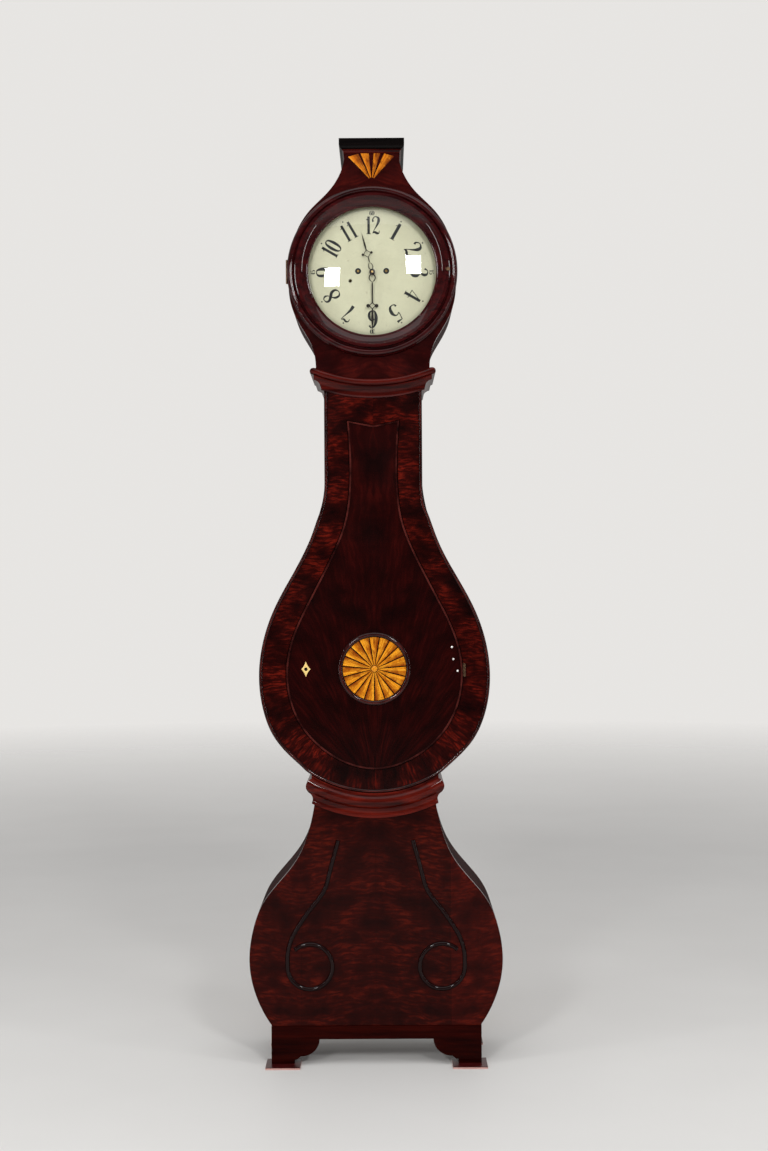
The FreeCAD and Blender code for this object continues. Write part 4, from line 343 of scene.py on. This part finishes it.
def turned_wood(name, dark, bright, coat=0.4, painted_front_highlight=None, rough=(0.10, 0.18), wave=40.0):
    """Dark polished wood with long faint streaks; painted_front_highlight is the colour of a painted
    highlight on the faces that look straight ahead.
    """
    net = Net(name)
    x, y, z = net.split(net.place)
    across, forward, up = net.split(net.normal)
    frontal = net.add(net.math("ABSOLUTE", forward), 0.05)
    beside = net.math("GREATER_THAN", net.math("ABSOLUTE", across), frontal)
    ahead = net.sub(1.0, beside)
    run = net.add(net.mul(x, ahead), net.mul(y, beside))
    reach = net.add(net.mul(y, ahead), net.mul(x, beside))
    long = net.noise(net.join(net.mul(run, 6.0), net.mul(reach, 120.0), net.mul(z, 90.0)), 1.0, 4.0, 0.6, 0.4)
    speck = net.noise(net.place, 420.0, 2.0)
    between = tuple((a + b) / 2 for a, b in zip(dark, bright))
    colour = net.ramp(net.remap(long, 0.34, 0.66), [(0.0, dark), (0.6, between), (1.0, bright)])
    colour = net.mix(net.remap(speck, 0.6, 0.75, 0.0, 0.5), colour, deep(dark))
    # Painted highlight: faces that look straight ahead are lightened in patches, standing in for the lamps'
    # reflection along the crests.
    if painted_front_highlight:
        highlight_patches = net.remap(net.noise(net.place, 24.0, 5.0), 0.42, 0.62)
        wear_and_painted_highlight = net.mul(net.remap(forward, -0.90, -0.99), highlight_patches)
        colour = net.mix(net.mul(wear_and_painted_highlight, 0.7), colour, painted_front_highlight)
    net.bump(net.noise(net.place, wave, 2.0), 0.02, 0.0004)
    return net.finish(colour, polish(net, *rough), coat=coat, specular=0.0)


BLACKENED = (0.006, 0.0008, 0.0007)
TIGHT = (0.03, 0.07)
LONG_WAVE = 9.0
materials["moulding"] = turned_wood("moulding_polish", (0.020, 0.0012, 0.0008), (0.120, 0.008, 0.0035),
                                    0.3, rough=TIGHT, wave=LONG_WAVE)
materials["throat"] = turned_wood("throat_polish", (0.014, 0.0010, 0.0008), (0.080, 0.0055, 0.003),
                                  0.3, rough=TIGHT, wave=LONG_WAVE)
# The beads carry a painted highlight along their front-facing crests.
materials["bead"] = turned_wood("bead_polish", BLACKENED, (0.026, 0.0026, 0.0020),
                                0.5, (0.10, 0.018, 0.014), TIGHT, LONG_WAVE)
materials["scroll"] = turned_wood("scroll_polish", BLACKENED, (0.009, 0.0010, 0.0008),
                                  0.35, rough=TIGHT, wave=LONG_WAVE)
materials["bezel"] = turned_wood("bezel_polish", (0.014, 0.0013, 0.0016), (0.052, 0.0038, 0.0040),
                                 0.6, rough=TIGHT, wave=6.0)
materials["cap"] = turned_wood("cap_black", (0.0022, 0.0018, 0.0018), (0.005, 0.0034, 0.0032), 0.15)
materials["plinth"] = turned_wood("plinth_polish", (0.009, 0.0006, 0.0004), (0.030, 0.0020, 0.0009), 0.05)
materials["foot"] = turned_wood("foot_polish", (0.008, 0.0006, 0.0004), (0.024, 0.0018, 0.0008), 0.05)


def pad_wood():
    """Stained on the faces that look up and above a low line; pale, grained wood below it."""
    net = Net("pad_stained")
    x, y, z = net.split(net.place)
    grain = net.noise(net.join(net.mul(x, 20.0), net.mul(y, 20.0), net.mul(z, 900.0)), 1.0, 4.0)
    pale = net.ramp(grain, [(0.3, (0.42, 0.22, 0.19)), (0.7, (0.62, 0.40, 0.36))])
    stain = net.ramp(net.noise(net.place, 40.0, 4.0),
                     [(0.3, (0.030, 0.003, 0.003)), (0.7, (0.07, 0.007, 0.007))])
    top = net.math("MAXIMUM", net.math("GREATER_THAN", net.split(net.normal)[2], 0.5),
                   net.math("GREATER_THAN", net.add(z, net.mul(grain, 0.001)), PAD_STAIN_Z))
    net.bump(grain, 0.2, 0.0004)
    return net.finish(net.mix(top, pale, stain), net.remap(top, 0.0, 1.0, 0.7, 0.3), specular=0.15)


def soft_wood():
    """Bare softwood of the backs and the seatboard, browned with age."""
    net = Net("inner_softwood")
    x, y, z = net.split(net.place)
    warp = net.mul(net.noise(net.place, 2.5, 3.0), 0.06)
    across = net.mul(net.add(x, warp), 90.0)
    rings = net.noise(net.join(across, net.mul(y, 60.0), net.mul(z, 2.2)), 1.0, 4.0, 0.6)
    stain = net.noise(net.place, 3.5, 5.0)
    colour = net.ramp(rings, [(0.32, (0.16, 0.075, 0.032)), (0.5, (0.30, 0.16, 0.075)),
                              (0.7, (0.38, 0.22, 0.11))])
    colour = net.mix(net.remap(stain, 0.45, 0.75, 0.0, 0.55), colour, (0.10, 0.05, 0.026))
    net.bump(rings, 0.35, 0.0008)
    return net.finish(colour, net.remap(rings, 0.3, 0.7, 0.62, 0.82), specular=0.3)


materials["pad"] = pad_wood()
materials["inner"] = soft_wood()


def shaded_inlay(name, middle_z, count, offset, tones, button=0.0):
    """Satinwood wedges, each scorched towards one long side, with dark joints, around a plain button."""
    low, middle, high, burnt = tones
    net = Net(name)
    x, y, z = net.split(net.place)
    up = net.sub(z, middle_z)
    turn = net.add(net.mul(net.math("ARCTAN2", x, up), count / (2 * math.pi)), offset + 50.0)
    share = net.math("FRACT", turn)
    wedge = net.math("FLOOR", turn)
    reach = net.math("POWER", net.add(net.mul(x, x), net.mul(up, up)), 0.5)
    fibre = net.noise(net.join(net.mul(share, 9.0), net.mul(reach, 18.0), net.mul(wedge, 3.7)), 1.0, 4.0, 0.6)
    cloud_place = net.join(net.mul(share, 1.6), net.mul(reach, 60.0), net.mul(wedge, 5.3))
    cloud = net.noise(cloud_place, 1.0, 3.0, 0.6, 0.5)
    gold = net.ramp(fibre, [(0.3, low), (0.5, middle), (0.7, high)])
    scorch = net.math("MULTIPLY", net.remap(share, 0.3, 0.95), net.remap(cloud, 0.2, 0.5), clamp=True)
    outside = net.remap(reach, button, button + 0.0005)
    colour = net.mix(net.mul(scorch, outside), gold, burnt)
    colour = net.mix(net.remap(cloud, 0.50, 0.70, 0.0, 0.8), colour, burnt)
    side = net.mul(net.mul(net.math("PINGPONG", turn, 0.5), reach), 2 * math.pi / count)
    joint = net.remap(net.sub(side, net.remap(reach, 0.008, 0.034, 0.0002, 0.0012)), 0.0, 0.0004, 1.0, 0.0)
    colour = net.mix(net.mul(joint, outside), colour, (0.012, 0.003, 0.001))
    net.bump(fibre, 0.06, 0.0003)
    return net.finish(colour, polish(net), coat=0.2, specular=0.10)


materials["rays"] = shaded_inlay(
    "medallion_satinwood", MEDALLION_Z, RAY_COUNT, 0.5,
    ((0.50, 0.125, 0.003), (0.74, 0.260, 0.009), (0.95, 0.50, 0.045), (0.20, 0.028, 0.0012)), BUTTON_RADIUS)
materials["fan"] = shaded_inlay(
    "fan_satinwood", CAP_Z - FAN_DROP, FAN_COUNT, 0.03,
    ((0.44, 0.090, 0.003), (0.58, 0.165, 0.006), (0.74, 0.28, 0.020), (0.11, 0.014, 0.001)))


def metal(name, dark, bright, rough_low, rough_high, grime, scale=60.0, metallic=1.0):
    """Old metal: tarnish in patches, and fine specks of dirt."""
    net = Net(name)
    tarnish = net.noise(net.place, scale, 5.0, 0.6)
    fine = net.noise(net.place, scale * 14, 2.0)
    colour = net.ramp(tarnish, [(0.32, dark), (0.68, bright)])
    colour = net.mix(net.remap(fine, 0.58, 0.72, 0.0, grime), colour, deep(dark, 0.2))
    net.bump(fine, 0.12, 0.0002)
    return net.finish(colour, net.remap(tarnish, 0.3, 0.7, rough_high, rough_low), metal=metallic)


METALS = {
    "brass": ("aged_brass", (0.30, 0.17, 0.05), (0.62, 0.42, 0.16), 0.28, 0.5, 0.5),
    "bright_brass": ("rubbed_brass", (0.80, 0.55, 0.17), (1.0, 0.80, 0.36), 0.42, 0.6, 0.3, 140.0),
    "bronze": ("dark_bronze", (0.060, 0.034, 0.020), (0.16, 0.095, 0.055), 0.25, 0.45, 0.5, 140.0),
    # Nail heads: metal, with a near-white colour that is partly a painted glint.
    "nail": ("nail_heads_painted_glint", (0.80, 0.78, 0.74), (0.95, 0.93, 0.90), 0.2, 0.35, 0.1, 200.0, 0.3),
    "hand_metal": ("blackened_hands", (0.012, 0.010, 0.009), (0.035, 0.03, 0.026), 0.35, 0.55, 0.5, 200.0),
    "steel": ("grey_steel", (0.20, 0.19, 0.18), (0.42, 0.41, 0.40), 0.28, 0.5, 0.5),
    "iron": ("cast_iron", (0.030, 0.028, 0.027), (0.075, 0.07, 0.066), 0.5, 0.75, 0.7),
    "bell_metal": ("bell_metal", (0.38, 0.26, 0.11), (0.68, 0.52, 0.26), 0.2, 0.36, 0.3, 30.0),
}
for look, recipe in METALS.items():
    materials[look] = metal(*recipe)


def cord_fibre():
    """Old waxed line, darker where it has been handled."""
    net = Net("waxed_line")
    fibre = net.noise(net.place, 2600.0, 3.0, 0.6)
    wear_and_painted_highlight = net.noise(net.place, 30.0, 3.0)
    colour = net.ramp(fibre, [(0.3, (0.13, 0.08, 0.035)), (0.7, (0.36, 0.25, 0.12))])
    colour = net.mix(net.remap(wear_and_painted_highlight, 0.45, 0.7, 0.0, 0.6), colour, (0.07, 0.042, 0.02))
    net.bump(fibre, 0.4, 0.0002)
    return net.finish(colour, net.remap(fibre, 0.3, 0.7, 0.6, 0.85), specular=0.3)


materials["cord"] = cord_fibre()


def dial_paint():
    """Cream paint, greyed towards the rim by a painted shade where the bezel's shadow falls, with fine cracks
    and a few stains.
    """
    net = Net("dial_cream")
    x, y, z = net.split(net.place)
    up = net.sub(z, DIAL_Z)
    reach = net.math("POWER", net.add(net.mul(x, x), net.mul(up, up)), 0.5)
    cloud = net.noise(net.place, 16.0, 5.0, 0.6)
    colour = net.ramp(cloud, [(0.3, (0.58, 0.55, 0.39)), (0.7, (0.66, 0.63, 0.46))])
    # Painted shade: the bezel's shadow, greying the outer ring of the dial.
    rim = net.remap(net.add(reach, net.mul(net.sub(cloud, 0.5), 0.008)), *DIAL_SHADE_RIM)
    colour = net.mix(net.mul(rim, 0.7), colour, (0.25, 0.24, 0.15))
    crack = net.cells(net.shaken(net.place, 60.0, 0.004), 90.0, "DISTANCE_TO_EDGE")
    colour = net.mix(net.remap(crack, 0.0, 0.02, 0.14, 0.0), colour, (0.25, 0.21, 0.13))
    spot = net.noise(net.place, 120.0, 2.0)
    colour = net.mix(net.remap(spot, 0.7, 0.78, 0.0, 0.45), colour, (0.26, 0.21, 0.12))
    net.bump(net.remap(crack, 0.0, 0.03), 0.08, 0.0002)
    return net.finish(colour, net.remap(cloud, 0.3, 0.7, 0.42, 0.55), specular=0.3)


materials["dial"] = dial_paint()


def clear_glass():
    """Old domed glass: see-through, with a mirror-like skin and faint dust."""
    net = Net("domed_glass")
    net.tree.nodes.remove(net.bsdf)
    clear = net.node("ShaderNodeBsdfTransparent")
    clear.inputs[0].default_value = (0.975, 0.985, 0.975, 1)
    gloss = net.node("ShaderNodeBsdfGlossy")
    net.feed(gloss.inputs["Roughness"], net.remap(net.noise(net.place, 30.0, 4.0), 0.35, 0.75, 0.0, 0.03))
    rim = net.node("ShaderNodeFresnel")
    rim.inputs["IOR"].default_value = 1.5
    wave = net.node("ShaderNodeBump")
    net.feed(wave.inputs["Height"], net.noise(net.place, 7.0, 2.0))
    wave.inputs["Strength"].default_value = 0.03
    wave.inputs["Distance"].default_value = 0.001
    for shader in (gloss, rim):
        net.tree.links.new(wave.outputs[0], shader.inputs["Normal"])
    outer = net.sub(1.0, net.node("ShaderNodeNewGeometry").outputs["Backfacing"])
    mirror = net.mul(rim.outputs[0], outer)
    skin = net.node("ShaderNodeMixShader")
    for socket, value in zip(skin.inputs, (mirror, clear.outputs[0], gloss.outputs[0])):
        net.tree.links.new(value, socket)
    dust = net.node("ShaderNodeBsdfDiffuse")
    dust.inputs[0].default_value = (0.7, 0.7, 0.66, 1)
    coated = net.node("ShaderNodeMixShader")
    net.feed(coated.inputs[0], net.remap(net.noise(net.place, 220.0, 3.0), 0.55, 0.85, 0.0, 0.05))
    net.tree.links.new(skin.outputs[0], coated.inputs[1])
    net.tree.links.new(dust.outputs[0], coated.inputs[2])
    net.tree.links.new(coated.outputs[0], net.out.inputs["Surface"])
    return net.mat


materials["glass"] = clear_glass()


def ink():
    """Black figures, thinned by cleaning."""
    net = Net("dial_ink")
    wear = net.noise(net.place, 260.0, 4.0, 0.7)
    colour = net.ramp(wear, [(0.3, (0.004, 0.004, 0.005)), (0.66, (0.010, 0.010, 0.011)),
                             (0.8, (0.07, 0.065, 0.05))])
    net.bump(wear, 0.1, 0.0001)
    return net.finish(colour, net.remap(wear, 0.3, 0.7, 0.4, 0.6), specular=0.3)


materials["ink"] = ink()

LOOKS = {
    "pad": ["foot_pads"],
    "foot": ["feet"],
    "plinth": ["plinth_frame"],
    "base": ["base_front_board"],
    "frame": ["trunk_front_frame"],
    "door": ["door_panel"],
    "hood": ["hood_front_board"],
    "side": ["base_side_left", "base_side_right", "trunk_side_left", "trunk_side_right",
             "hood_side_left", "hood_side_right"],
    "inner": ["base_backboard", "trunk_backboard", "seatboard"],
    "moulding": ["saddle_moulding"],
    "throat": ["throat_moulding", "hood_base_bead"],
    "bead": ["trunk_edge_bead", "door_beads"],
    "scroll": ["scroll_beads"],
    "bezel": ["bezel_ring"],
    "cap": ["cap"],
    "rays": ["medallion_rays"],
    "fan": ["fan_inlay"],
    "glass": ["bezel_glass"],
    "dial": ["dial_plate"],
    "bright_brass": ["escutcheon"],
    "bronze": ["door_hinge_leaf", "trunk_hinge_leaf", "hood_hinge_leaf", "bezel_hinge_leaf", "bezel_latch"],
    "hand_metal": ["hour_hand", "minute_hand"],
    "brass": ["movement_frame", "pendulum_cock", "centre_wheel", "minute_wheel", "hour_wheel", "third_wheel",
              "escape_wheel", "pendulum_bob", "going_great_wheel", "going_barrel", "strike_great_wheel",
              "strike_barrel", "pin_wheel"],
    "steel": ["pallet_anchor", "pendulum_rod", "fly", "hammer", "lock_bolt"],
    "iron": ["weight_left", "weight_right", "lock_case"],
    "bell_metal": ["bell"],
    "cord": ["line_left", "line_right"],
}
for look, names in LOOKS.items():
    for name in names:
        nodes[name].data.materials.clear()
        nodes[name].data.materials.append(materials[look])


# Meshes made here

def mesh_object(name, verts, faces, look, body):
    """A mesh with a look, riding on a body."""
    mesh = bpy.data.meshes.new(name)
    mesh.from_pydata([tuple(v) for v in verts], [], faces)
    mesh.validate()
    thing = bpy.data.objects.new(name, mesh)
    bpy.context.scene.collection.objects.link(thing)
    mesh.materials.append(materials[look])
    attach(thing, body)
    return thing


# Strokes of the figures, each point as across, up and width

GLYPHS = {
    "0": [
        [(0, .985, .04), (-.15, .86, .10), (-.20, .5, .16), (-.15, .14, .10), (0, .015, .04),
         (.15, .14, .10), (.20, .5, .16), (.15, .86, .10), (0, .985, .04)],
    ],
    "1": [
        [(-.14, .80, .03), (-.03, .87, .05), (.03, .97, .10)],
        [(.03, 1, .14), (.03, .5, .14), (.03, .02, .14)],
        [(-.12, .015, .03), (.18, .015, .03)],
    ],
    "2": [
        [(-.17, .70, .12), (-.20, .82, .07), (-.10, .96, .05), (.03, .985, .05), (.17, .90, .12),
         (.19, .74, .15), (.08, .50, .09), (-.08, .27, .04), (-.21, .05, .03)],
        [(-.21, .05, .04), (-.08, .11, .10), (.08, .05, .12), (.20, .05, .06), (.235, .20, .03)],
    ],
    "3": [
        [(-.17, .80, .10), (-.10, .94, .05), (.02, .985, .05), (.14, .90, .11), (.15, .74, .13),
         (.05, .57, .05), (-.04, .54, .03)],
        [(0, .54, .03), (.12, .50, .06), (.20, .34, .14), (.17, .12, .12), (.03, .015, .05),
         (-.12, .04, .05), (-.19, .17, .10)],
    ],
    "4": [
        [(.07, 1, .12), (.07, .5, .12), (.07, 0, .13)],
        [(.07, 1, .03), (-.08, .65, .03), (-.23, .29, .03)],
        [(-.23, .29, .04), (.24, .29, .04)],
        [(-.05, .015, .03), (.19, .015, .03)],
    ],
    "5": [
        [(-.13, .97, .03), (.0, .97, .07), (.17, .99, .12)],
        [(-.13, .97, .04), (-.15, .56, .04), (-.02, .63, .05), (.13, .57, .09), (.20, .36, .15),
         (.15, .10, .11), (0, .012, .05), (-.14, .05, .06), (-.18, .17, .10)],
    ],
    "6": [
        [(.17, .84, .09), (.08, .975, .05), (-.06, .92, .07), (-.17, .68, .13), (-.195, .36, .15),
         (-.13, .07, .08), (0, .012, .04), (.14, .09, .09), (.18, .30, .13), (.13, .50, .08),
         (.01, .575, .04), (-.12, .48, .04)],
    ],
    "7": [
        [(-.19, .78, .03), (-.19, .93, .05), (-.06, .99, .09), (.08, .93, .08), (.21, .985, .03),
         (.10, .62, .06), (0, .30, .12), (-.02, .02, .15)],
    ],
    "8": [
        [(0, .985, .04), (-.14, .90, .08), (-.15, .74, .11), (0, .56, .14), (.17, .38, .13),
         (.18, .14, .09), (0, .012, .04), (-.18, .12, .09), (-.185, .34, .10), (-.06, .52, .05),
         (.10, .66, .04), (.155, .82, .08), (.10, .95, .05), (0, .985, .04)],
    ],
}
GLYPHS["9"] = [[(-x, 1 - y, w) for x, y, w in stroke] for stroke in GLYPHS["6"]]


def smooth(points, steps=6):
    """Catmull-Rom samples through the points."""
    ends = [points[0]] + points + [points[-1]]
    made = []
    for a, b, c, d in zip(ends, ends[1:], ends[2:], ends[3:]):
        for step in range(steps):
            t = step / steps
            made.append(tuple(0.5 * (2 * q + (r - p) * t + (2 * p - 5 * q + 4 * r - v) * t * t
                                     + (3 * q - p - 3 * r + v) * t ** 3) for p, q, r, v in zip(a, b, c, d)))
    return made + [points[-1]]


def ribbon(points, put, verts, faces):
    """A flat stroke of changing width along sampled points."""
    first = len(verts)
    for index, (x, y, width) in enumerate(points):
        ahead, behind = points[min(index + 1, len(points) - 1)], points[max(index - 1, 0)]
        way = Vector((ahead[0] - behind[0], ahead[1] - behind[1]))
        way = way.normalized() if way.length > 0 else Vector((1, 0))
        for side in (-0.5, 0.5):
            verts.append(put(x - way.y * width * side, y + way.x * width * side))
    for index in range(len(points) - 1):
        a = first + 2 * index
        faces.append((a, a + 1, a + 3, a + 2))


def write(text, turn, inner, tall, narrow, weight, verts, faces):
    """Figures on the dial with their feet towards its centre."""
    pitch = 0.5 * narrow
    for index, glyph in enumerate(text):
        shift = (index - (len(text) - 1) / 2) * pitch

        def put(gx, gy):
            reach = inner + gy * tall
            aside = (gx * narrow + shift) * tall
            return (reach * math.sin(turn) + aside * math.cos(turn), DIAL_Y - INK_LIFT,
                    DIAL_Z + reach * math.cos(turn) - aside * math.sin(turn))

        for stroke in GLYPHS[glyph]:
            ribbon([(x, y, width * weight) for x, y, width in smooth(stroke)], put, verts, faces)


def disc(x, z, radius, y, verts, faces, sides=20):
    """A flat round dot."""
    first = len(verts)
    for index in range(sides):
        angle = 2 * math.pi * index / sides
        verts.append((x + radius * math.sin(angle), y, z + radius * math.cos(angle)))
    faces.append(tuple(range(first, first + sides)))


def collar(x, z, inner, outer, verts, faces, sides=28):
    """A flat black ring at a winding hole: painted shade that makes the hole look dark."""
    first = len(verts)
    for index in range(sides):
        angle = 2 * math.pi * index / sides
        for radius in (inner, outer):
            verts.append((x + radius * math.sin(angle), DIAL_Y - HOLE_SHADE_LIFT, z + radius * math.cos(angle)))
    for index in range(sides):
        a, b = first + 2 * index, first + 2 * ((index + 1) % sides)
        faces.append((a, a + 1, b + 1, b))


def make_figures():
    """Hours, minutes by the quarter, dots at the other fives, and rings of painted shade at the winding
    holes.
    """
    verts, faces = [], []
    for hour in range(1, 13):
        narrow = 0.86 if hour >= 10 else 1.05
        write(str(hour), hour * math.pi / 6, HOUR_REACH, HOUR_TALL, narrow, 1.2, verts, faces)
    for index in range(12):
        angle = index * math.pi / 6
        if index % 3 == 0:
            write(str(index * 5 or 60), angle, MINUTE_REACH, MINUTE_TALL, 1.1, 1.6, verts, faces)
        else:
            x, z = DOT_REACH * math.sin(angle), DIAL_Z + DOT_REACH * math.cos(angle)
            disc(x, z, DOT_RADIUS, DIAL_Y - INK_LIFT, verts, faces)
    # Painted shade: black rings that darken the winding holes.
    for side in (-1, 1):
        collar(side * WINDING_X, WINDING_Z, HOLE_SHADE_INNER, HOLE_SHADE_OUTER, verts, faces)
    mesh_object("dial_figures", verts, faces, "ink", "case")


def lathe(profile, x, y, z, verts, faces, sides=16):
    """A small round piece with its axis along Y; the profile runs from the rim to the crown."""
    first = len(verts)
    for radius, forward in profile:
        for index in range(sides):
            angle = 2 * math.pi * index / sides
            verts.append((x + radius * math.cos(angle), y - forward, z + radius * math.sin(angle)))
    for ring in range(len(profile) - 1):
        for index in range(sides):
            a, b = first + ring * sides, (index + 1) % sides
            faces.append((a + index, a + b, a + sides + b, a + sides + index))
    faces.append(tuple(range(first + (len(profile) - 1) * sides, first + len(profile) * sides)))


def make_nails():
    """Domed heads on the three nails that hold the rear plate of the door's hinge."""
    verts, faces = [], []
    for x, z in NAILS:
        lathe(NAIL_DOME, x, FRONT_Y, z, verts, faces)
    # The heads' near-white colour is partly a painted glint of the lamps.
    heads = mesh_object("door_nail_heads", verts, faces, "nail", "trunk_door")
    for polygon in heads.data.polygons:
        polygon.use_smooth = True


def make_cap_fillet():
    """A small hollow moulding under the cap, mitred round the front and both sides of the hood."""
    path = [(-1, 0, FILLET_DEPTH), (-1, -1, 0.0), (1, -1, 0.0), (1, 0, FILLET_DEPTH)]
    verts, faces = [], []
    for side, front, back in path:
        for out, drop in FILLET_PROFILE:
            verts.append((side * (FILLET_HALF + out), FRONT_Y + back + front * out, CAP_Z + drop))
    count = len(FILLET_PROFILE)
    for section in range(len(path) - 1):
        for index in range(count - 1):
            a = section * count + index
            faces.append((a, a + 1, a + 1 + count, a + count))
    faces.append(tuple(range(count)))
    faces.append(tuple(range((len(path) - 1) * count, len(path) * count)))
    mesh_object("cap_fillet", verts, faces, "throat", "hood")


def sweep(path, radius, verts, faces, sides=8, lobes=0, turn=0.0):
    """A tube along points; lobes and turn twist its section like the strands of a line."""
    first = len(verts)
    across = Vector((1, 0, 0)) if abs((path[1] - path[0]).normalized().x) < 0.9 else Vector((0, 1, 0))
    for index, point in enumerate(path):
        way = (path[min(index + 1, len(path) - 1)] - path[max(index - 1, 0)]).normalized()
        across = (across - way * across.dot(way)).normalized()
        for side in range(sides):
            angle = 2 * math.pi * side / sides
            reach = radius * (0.86 + 0.14 * math.cos(lobes * (angle - turn * index)))
            verts.append(point + (across * math.cos(angle) + way.cross(across) * math.sin(angle)) * reach)
    for index in range(len(path) - 1):
        for side in range(sides):
            a, b = first + index * sides, (side + 1) % sides
            faces.append((a + side, a + b, a + sides + b, a + sides + side))
    faces.append(tuple(range(first, first + sides)))
    faces.append(tuple(range(first + (len(path) - 1) * sides, first + len(path) * sides)))


def make_line(side):
    """The line from the drum to the weight, which is taken up as the weight rises."""
    low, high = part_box("line_" + side)
    x, y = middle("line_" + side, 0), middle("line_" + side, 1)
    length = high[2] - low[2]
    steps = int(length / LINE_STEP)
    path = [Vector((x, y, low[2] + length * index / steps)) for index in range(steps + 1)]
    verts, faces = [], []
    sweep(path, LINE_RADIUS, verts, faces, 3 * STRANDS, STRANDS, STRAND_TURN)
    line = mesh_object("weight_line_" + side, verts, faces, "cord", "case")
    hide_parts("line_" + side)
    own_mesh(line)


def make_knot(side):
    """A loop of the line through the weight's eye, bound by a few turns above it."""
    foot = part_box("line_" + side)[0][2]
    x, y = middle("line_" + side, 0), middle("line_" + side, 1)
    loop, coil = [], []
    for index in range(LOOP_POINTS + 1):
        angle = 2 * math.pi * index / LOOP_POINTS
        forward, drop = LOOP_RADIUS * math.sin(angle), LOOP_RADIUS * math.cos(angle)
        loop.append(Vector((x, y + forward, foot - LINE_RADIUS - drop)))
    for index in range(COIL_POINTS):
        angle = COIL_TURN * index
        aside, forward = COIL_RADIUS * math.cos(angle), COIL_RADIUS * math.sin(angle)
        coil.append(Vector((x + aside, y + forward, foot + COIL_LIFT + COIL_RISE * index)))
    verts, faces = [], []
    for path in (loop, coil):
        sweep(path, KNOT_RADIUS, verts, faces)
    mesh_object("weight_knot_" + side, verts, faces, "cord", side + "_weight")


make_figures()
make_nails()
make_cap_fillet()
for end in ("left", "right"):
    make_line(end)
    make_knot(end)


# Stage, lights and camera

FLOOR_RADIUS = 9.0
FLOOR_FADE = 3.0
BEFORE = (0.12, 0.12, 0.125, 1)
ABOVE = (0.60, 0.60, 0.61, 1)
BEHIND = (0.80, 0.785, 0.765, 1)


def pale_floor():
    """Pale near the object, and gone further out, where the world's own colour shows."""
    net = Net("stage_floor")
    x, y, z = net.split(net.place)
    reach = net.math("POWER", net.add(net.mul(x, x), net.mul(y, y)), 0.5)
    cloud = net.noise(net.place, 1.2, 3.0)
    net.finish(net.ramp(cloud, [(0.3, (0.70, 0.69, 0.67)), (0.7, (0.74, 0.73, 0.71))]), 0.6, specular=0.2)
    fade = net.node("ShaderNodeMixShader")
    net.feed(fade.inputs[0], net.remap(reach, FLOOR_FADE, FLOOR_RADIUS))
    clear = net.node("ShaderNodeBsdfTransparent")
    net.tree.links.new(net.bsdf.outputs[0], fade.inputs[1])
    net.tree.links.new(clear.outputs[0], fade.inputs[2])
    net.tree.links.new(fade.outputs[0], net.out.inputs["Surface"])
    return net.mat


def studio_world():
    """Pale behind the object, softly lit from above and dark grey before it."""
    world = bpy.data.worlds.new("studio")
    bpy.context.scene.world = world
    world.use_nodes = True
    tree = world.node_tree
    place = tree.nodes.new("ShaderNodeTexCoord")
    parts = tree.nodes.new("ShaderNodeSeparateXYZ")
    tree.links.new(place.outputs["Generated"], parts.inputs[0])
    colour = None
    for axis, low, high, tone in ((2, 0.25, 0.95, ABOVE), (1, 0.35, 0.85, BEHIND)):
        share = tree.nodes.new("ShaderNodeMapRange")
        share.interpolation_type = "SMOOTHSTEP"
        share.inputs["From Min"].default_value = low
        share.inputs["From Max"].default_value = high
        blend = tree.nodes.new("ShaderNodeMix")
        blend.data_type = "RGBA"
        blend.inputs[6].default_value = BEFORE
        blend.inputs[7].default_value = tone
        tree.links.new(parts.outputs[axis], share.inputs[0])
        tree.links.new(share.outputs[0], blend.inputs[0])
        if colour:
            tree.links.new(colour, blend.inputs[6])
        colour = blend.outputs[2]
    light = next(n for n in tree.nodes if n.type == "BACKGROUND")
    tree.links.new(colour, light.inputs["Color"])


def area(name, place, target, width, height, power):
    """A rectangular lamp at a place, aimed at a target."""
    lamp = bpy.data.lights.new(name, "AREA")
    lamp.shape = "RECTANGLE"
    lamp.size, lamp.size_y = width, height
    lamp.energy = power
    thing = bpy.data.objects.new(name, lamp)
    bpy.context.scene.collection.objects.link(thing)
    thing.location = place
    thing.rotation_euler = (Vector(target) - Vector(place)).to_track_quat("-Z", "Y").to_euler()


bpy.ops.mesh.primitive_circle_add(vertices=64, radius=FLOOR_RADIUS, fill_type="NGON", location=(0, 0, 0))
floor = bpy.context.object
floor.name = "stage_floor"
floor.data.materials.append(pale_floor())

studio_world()
area("softbox_left", (-1.28, -3.95, 2.33), (0, 0, 1.2), 0.48, 0.60, 50)
area("softbox_right", (1.28, -3.95, 2.72), (0, 0, 1.2), 0.48, 0.60, 50)
area("strip_left", (-2.6, -1.6, 1.3), (0, 0, 1.1), 0.10, 2.2, 15)
area("strip_right", (2.6, -1.6, 1.3), (0, 0, 1.1), 0.10, 2.2, 15)
area("top_front", (0, -1.9, 4.2), (0, -0.2, 0.9), 4.0, 2.6, 44)

lens = bpy.data.cameras.new("camera")
camera = bpy.data.objects.new("camera", lens)
bpy.context.scene.collection.objects.link(camera)
lens.sensor_fit = "VERTICAL"
lens.sensor_height = 36.0
lens.lens = 52.14
camera.location = (0.027, -3.878, 1.108)
camera.rotation_euler = (math.radians(90.03), math.radians(0.33), math.radians(0.063))
bpy.context.scene.camera = camera
bpy.context.scene.view_settings.view_transform = "Standard"
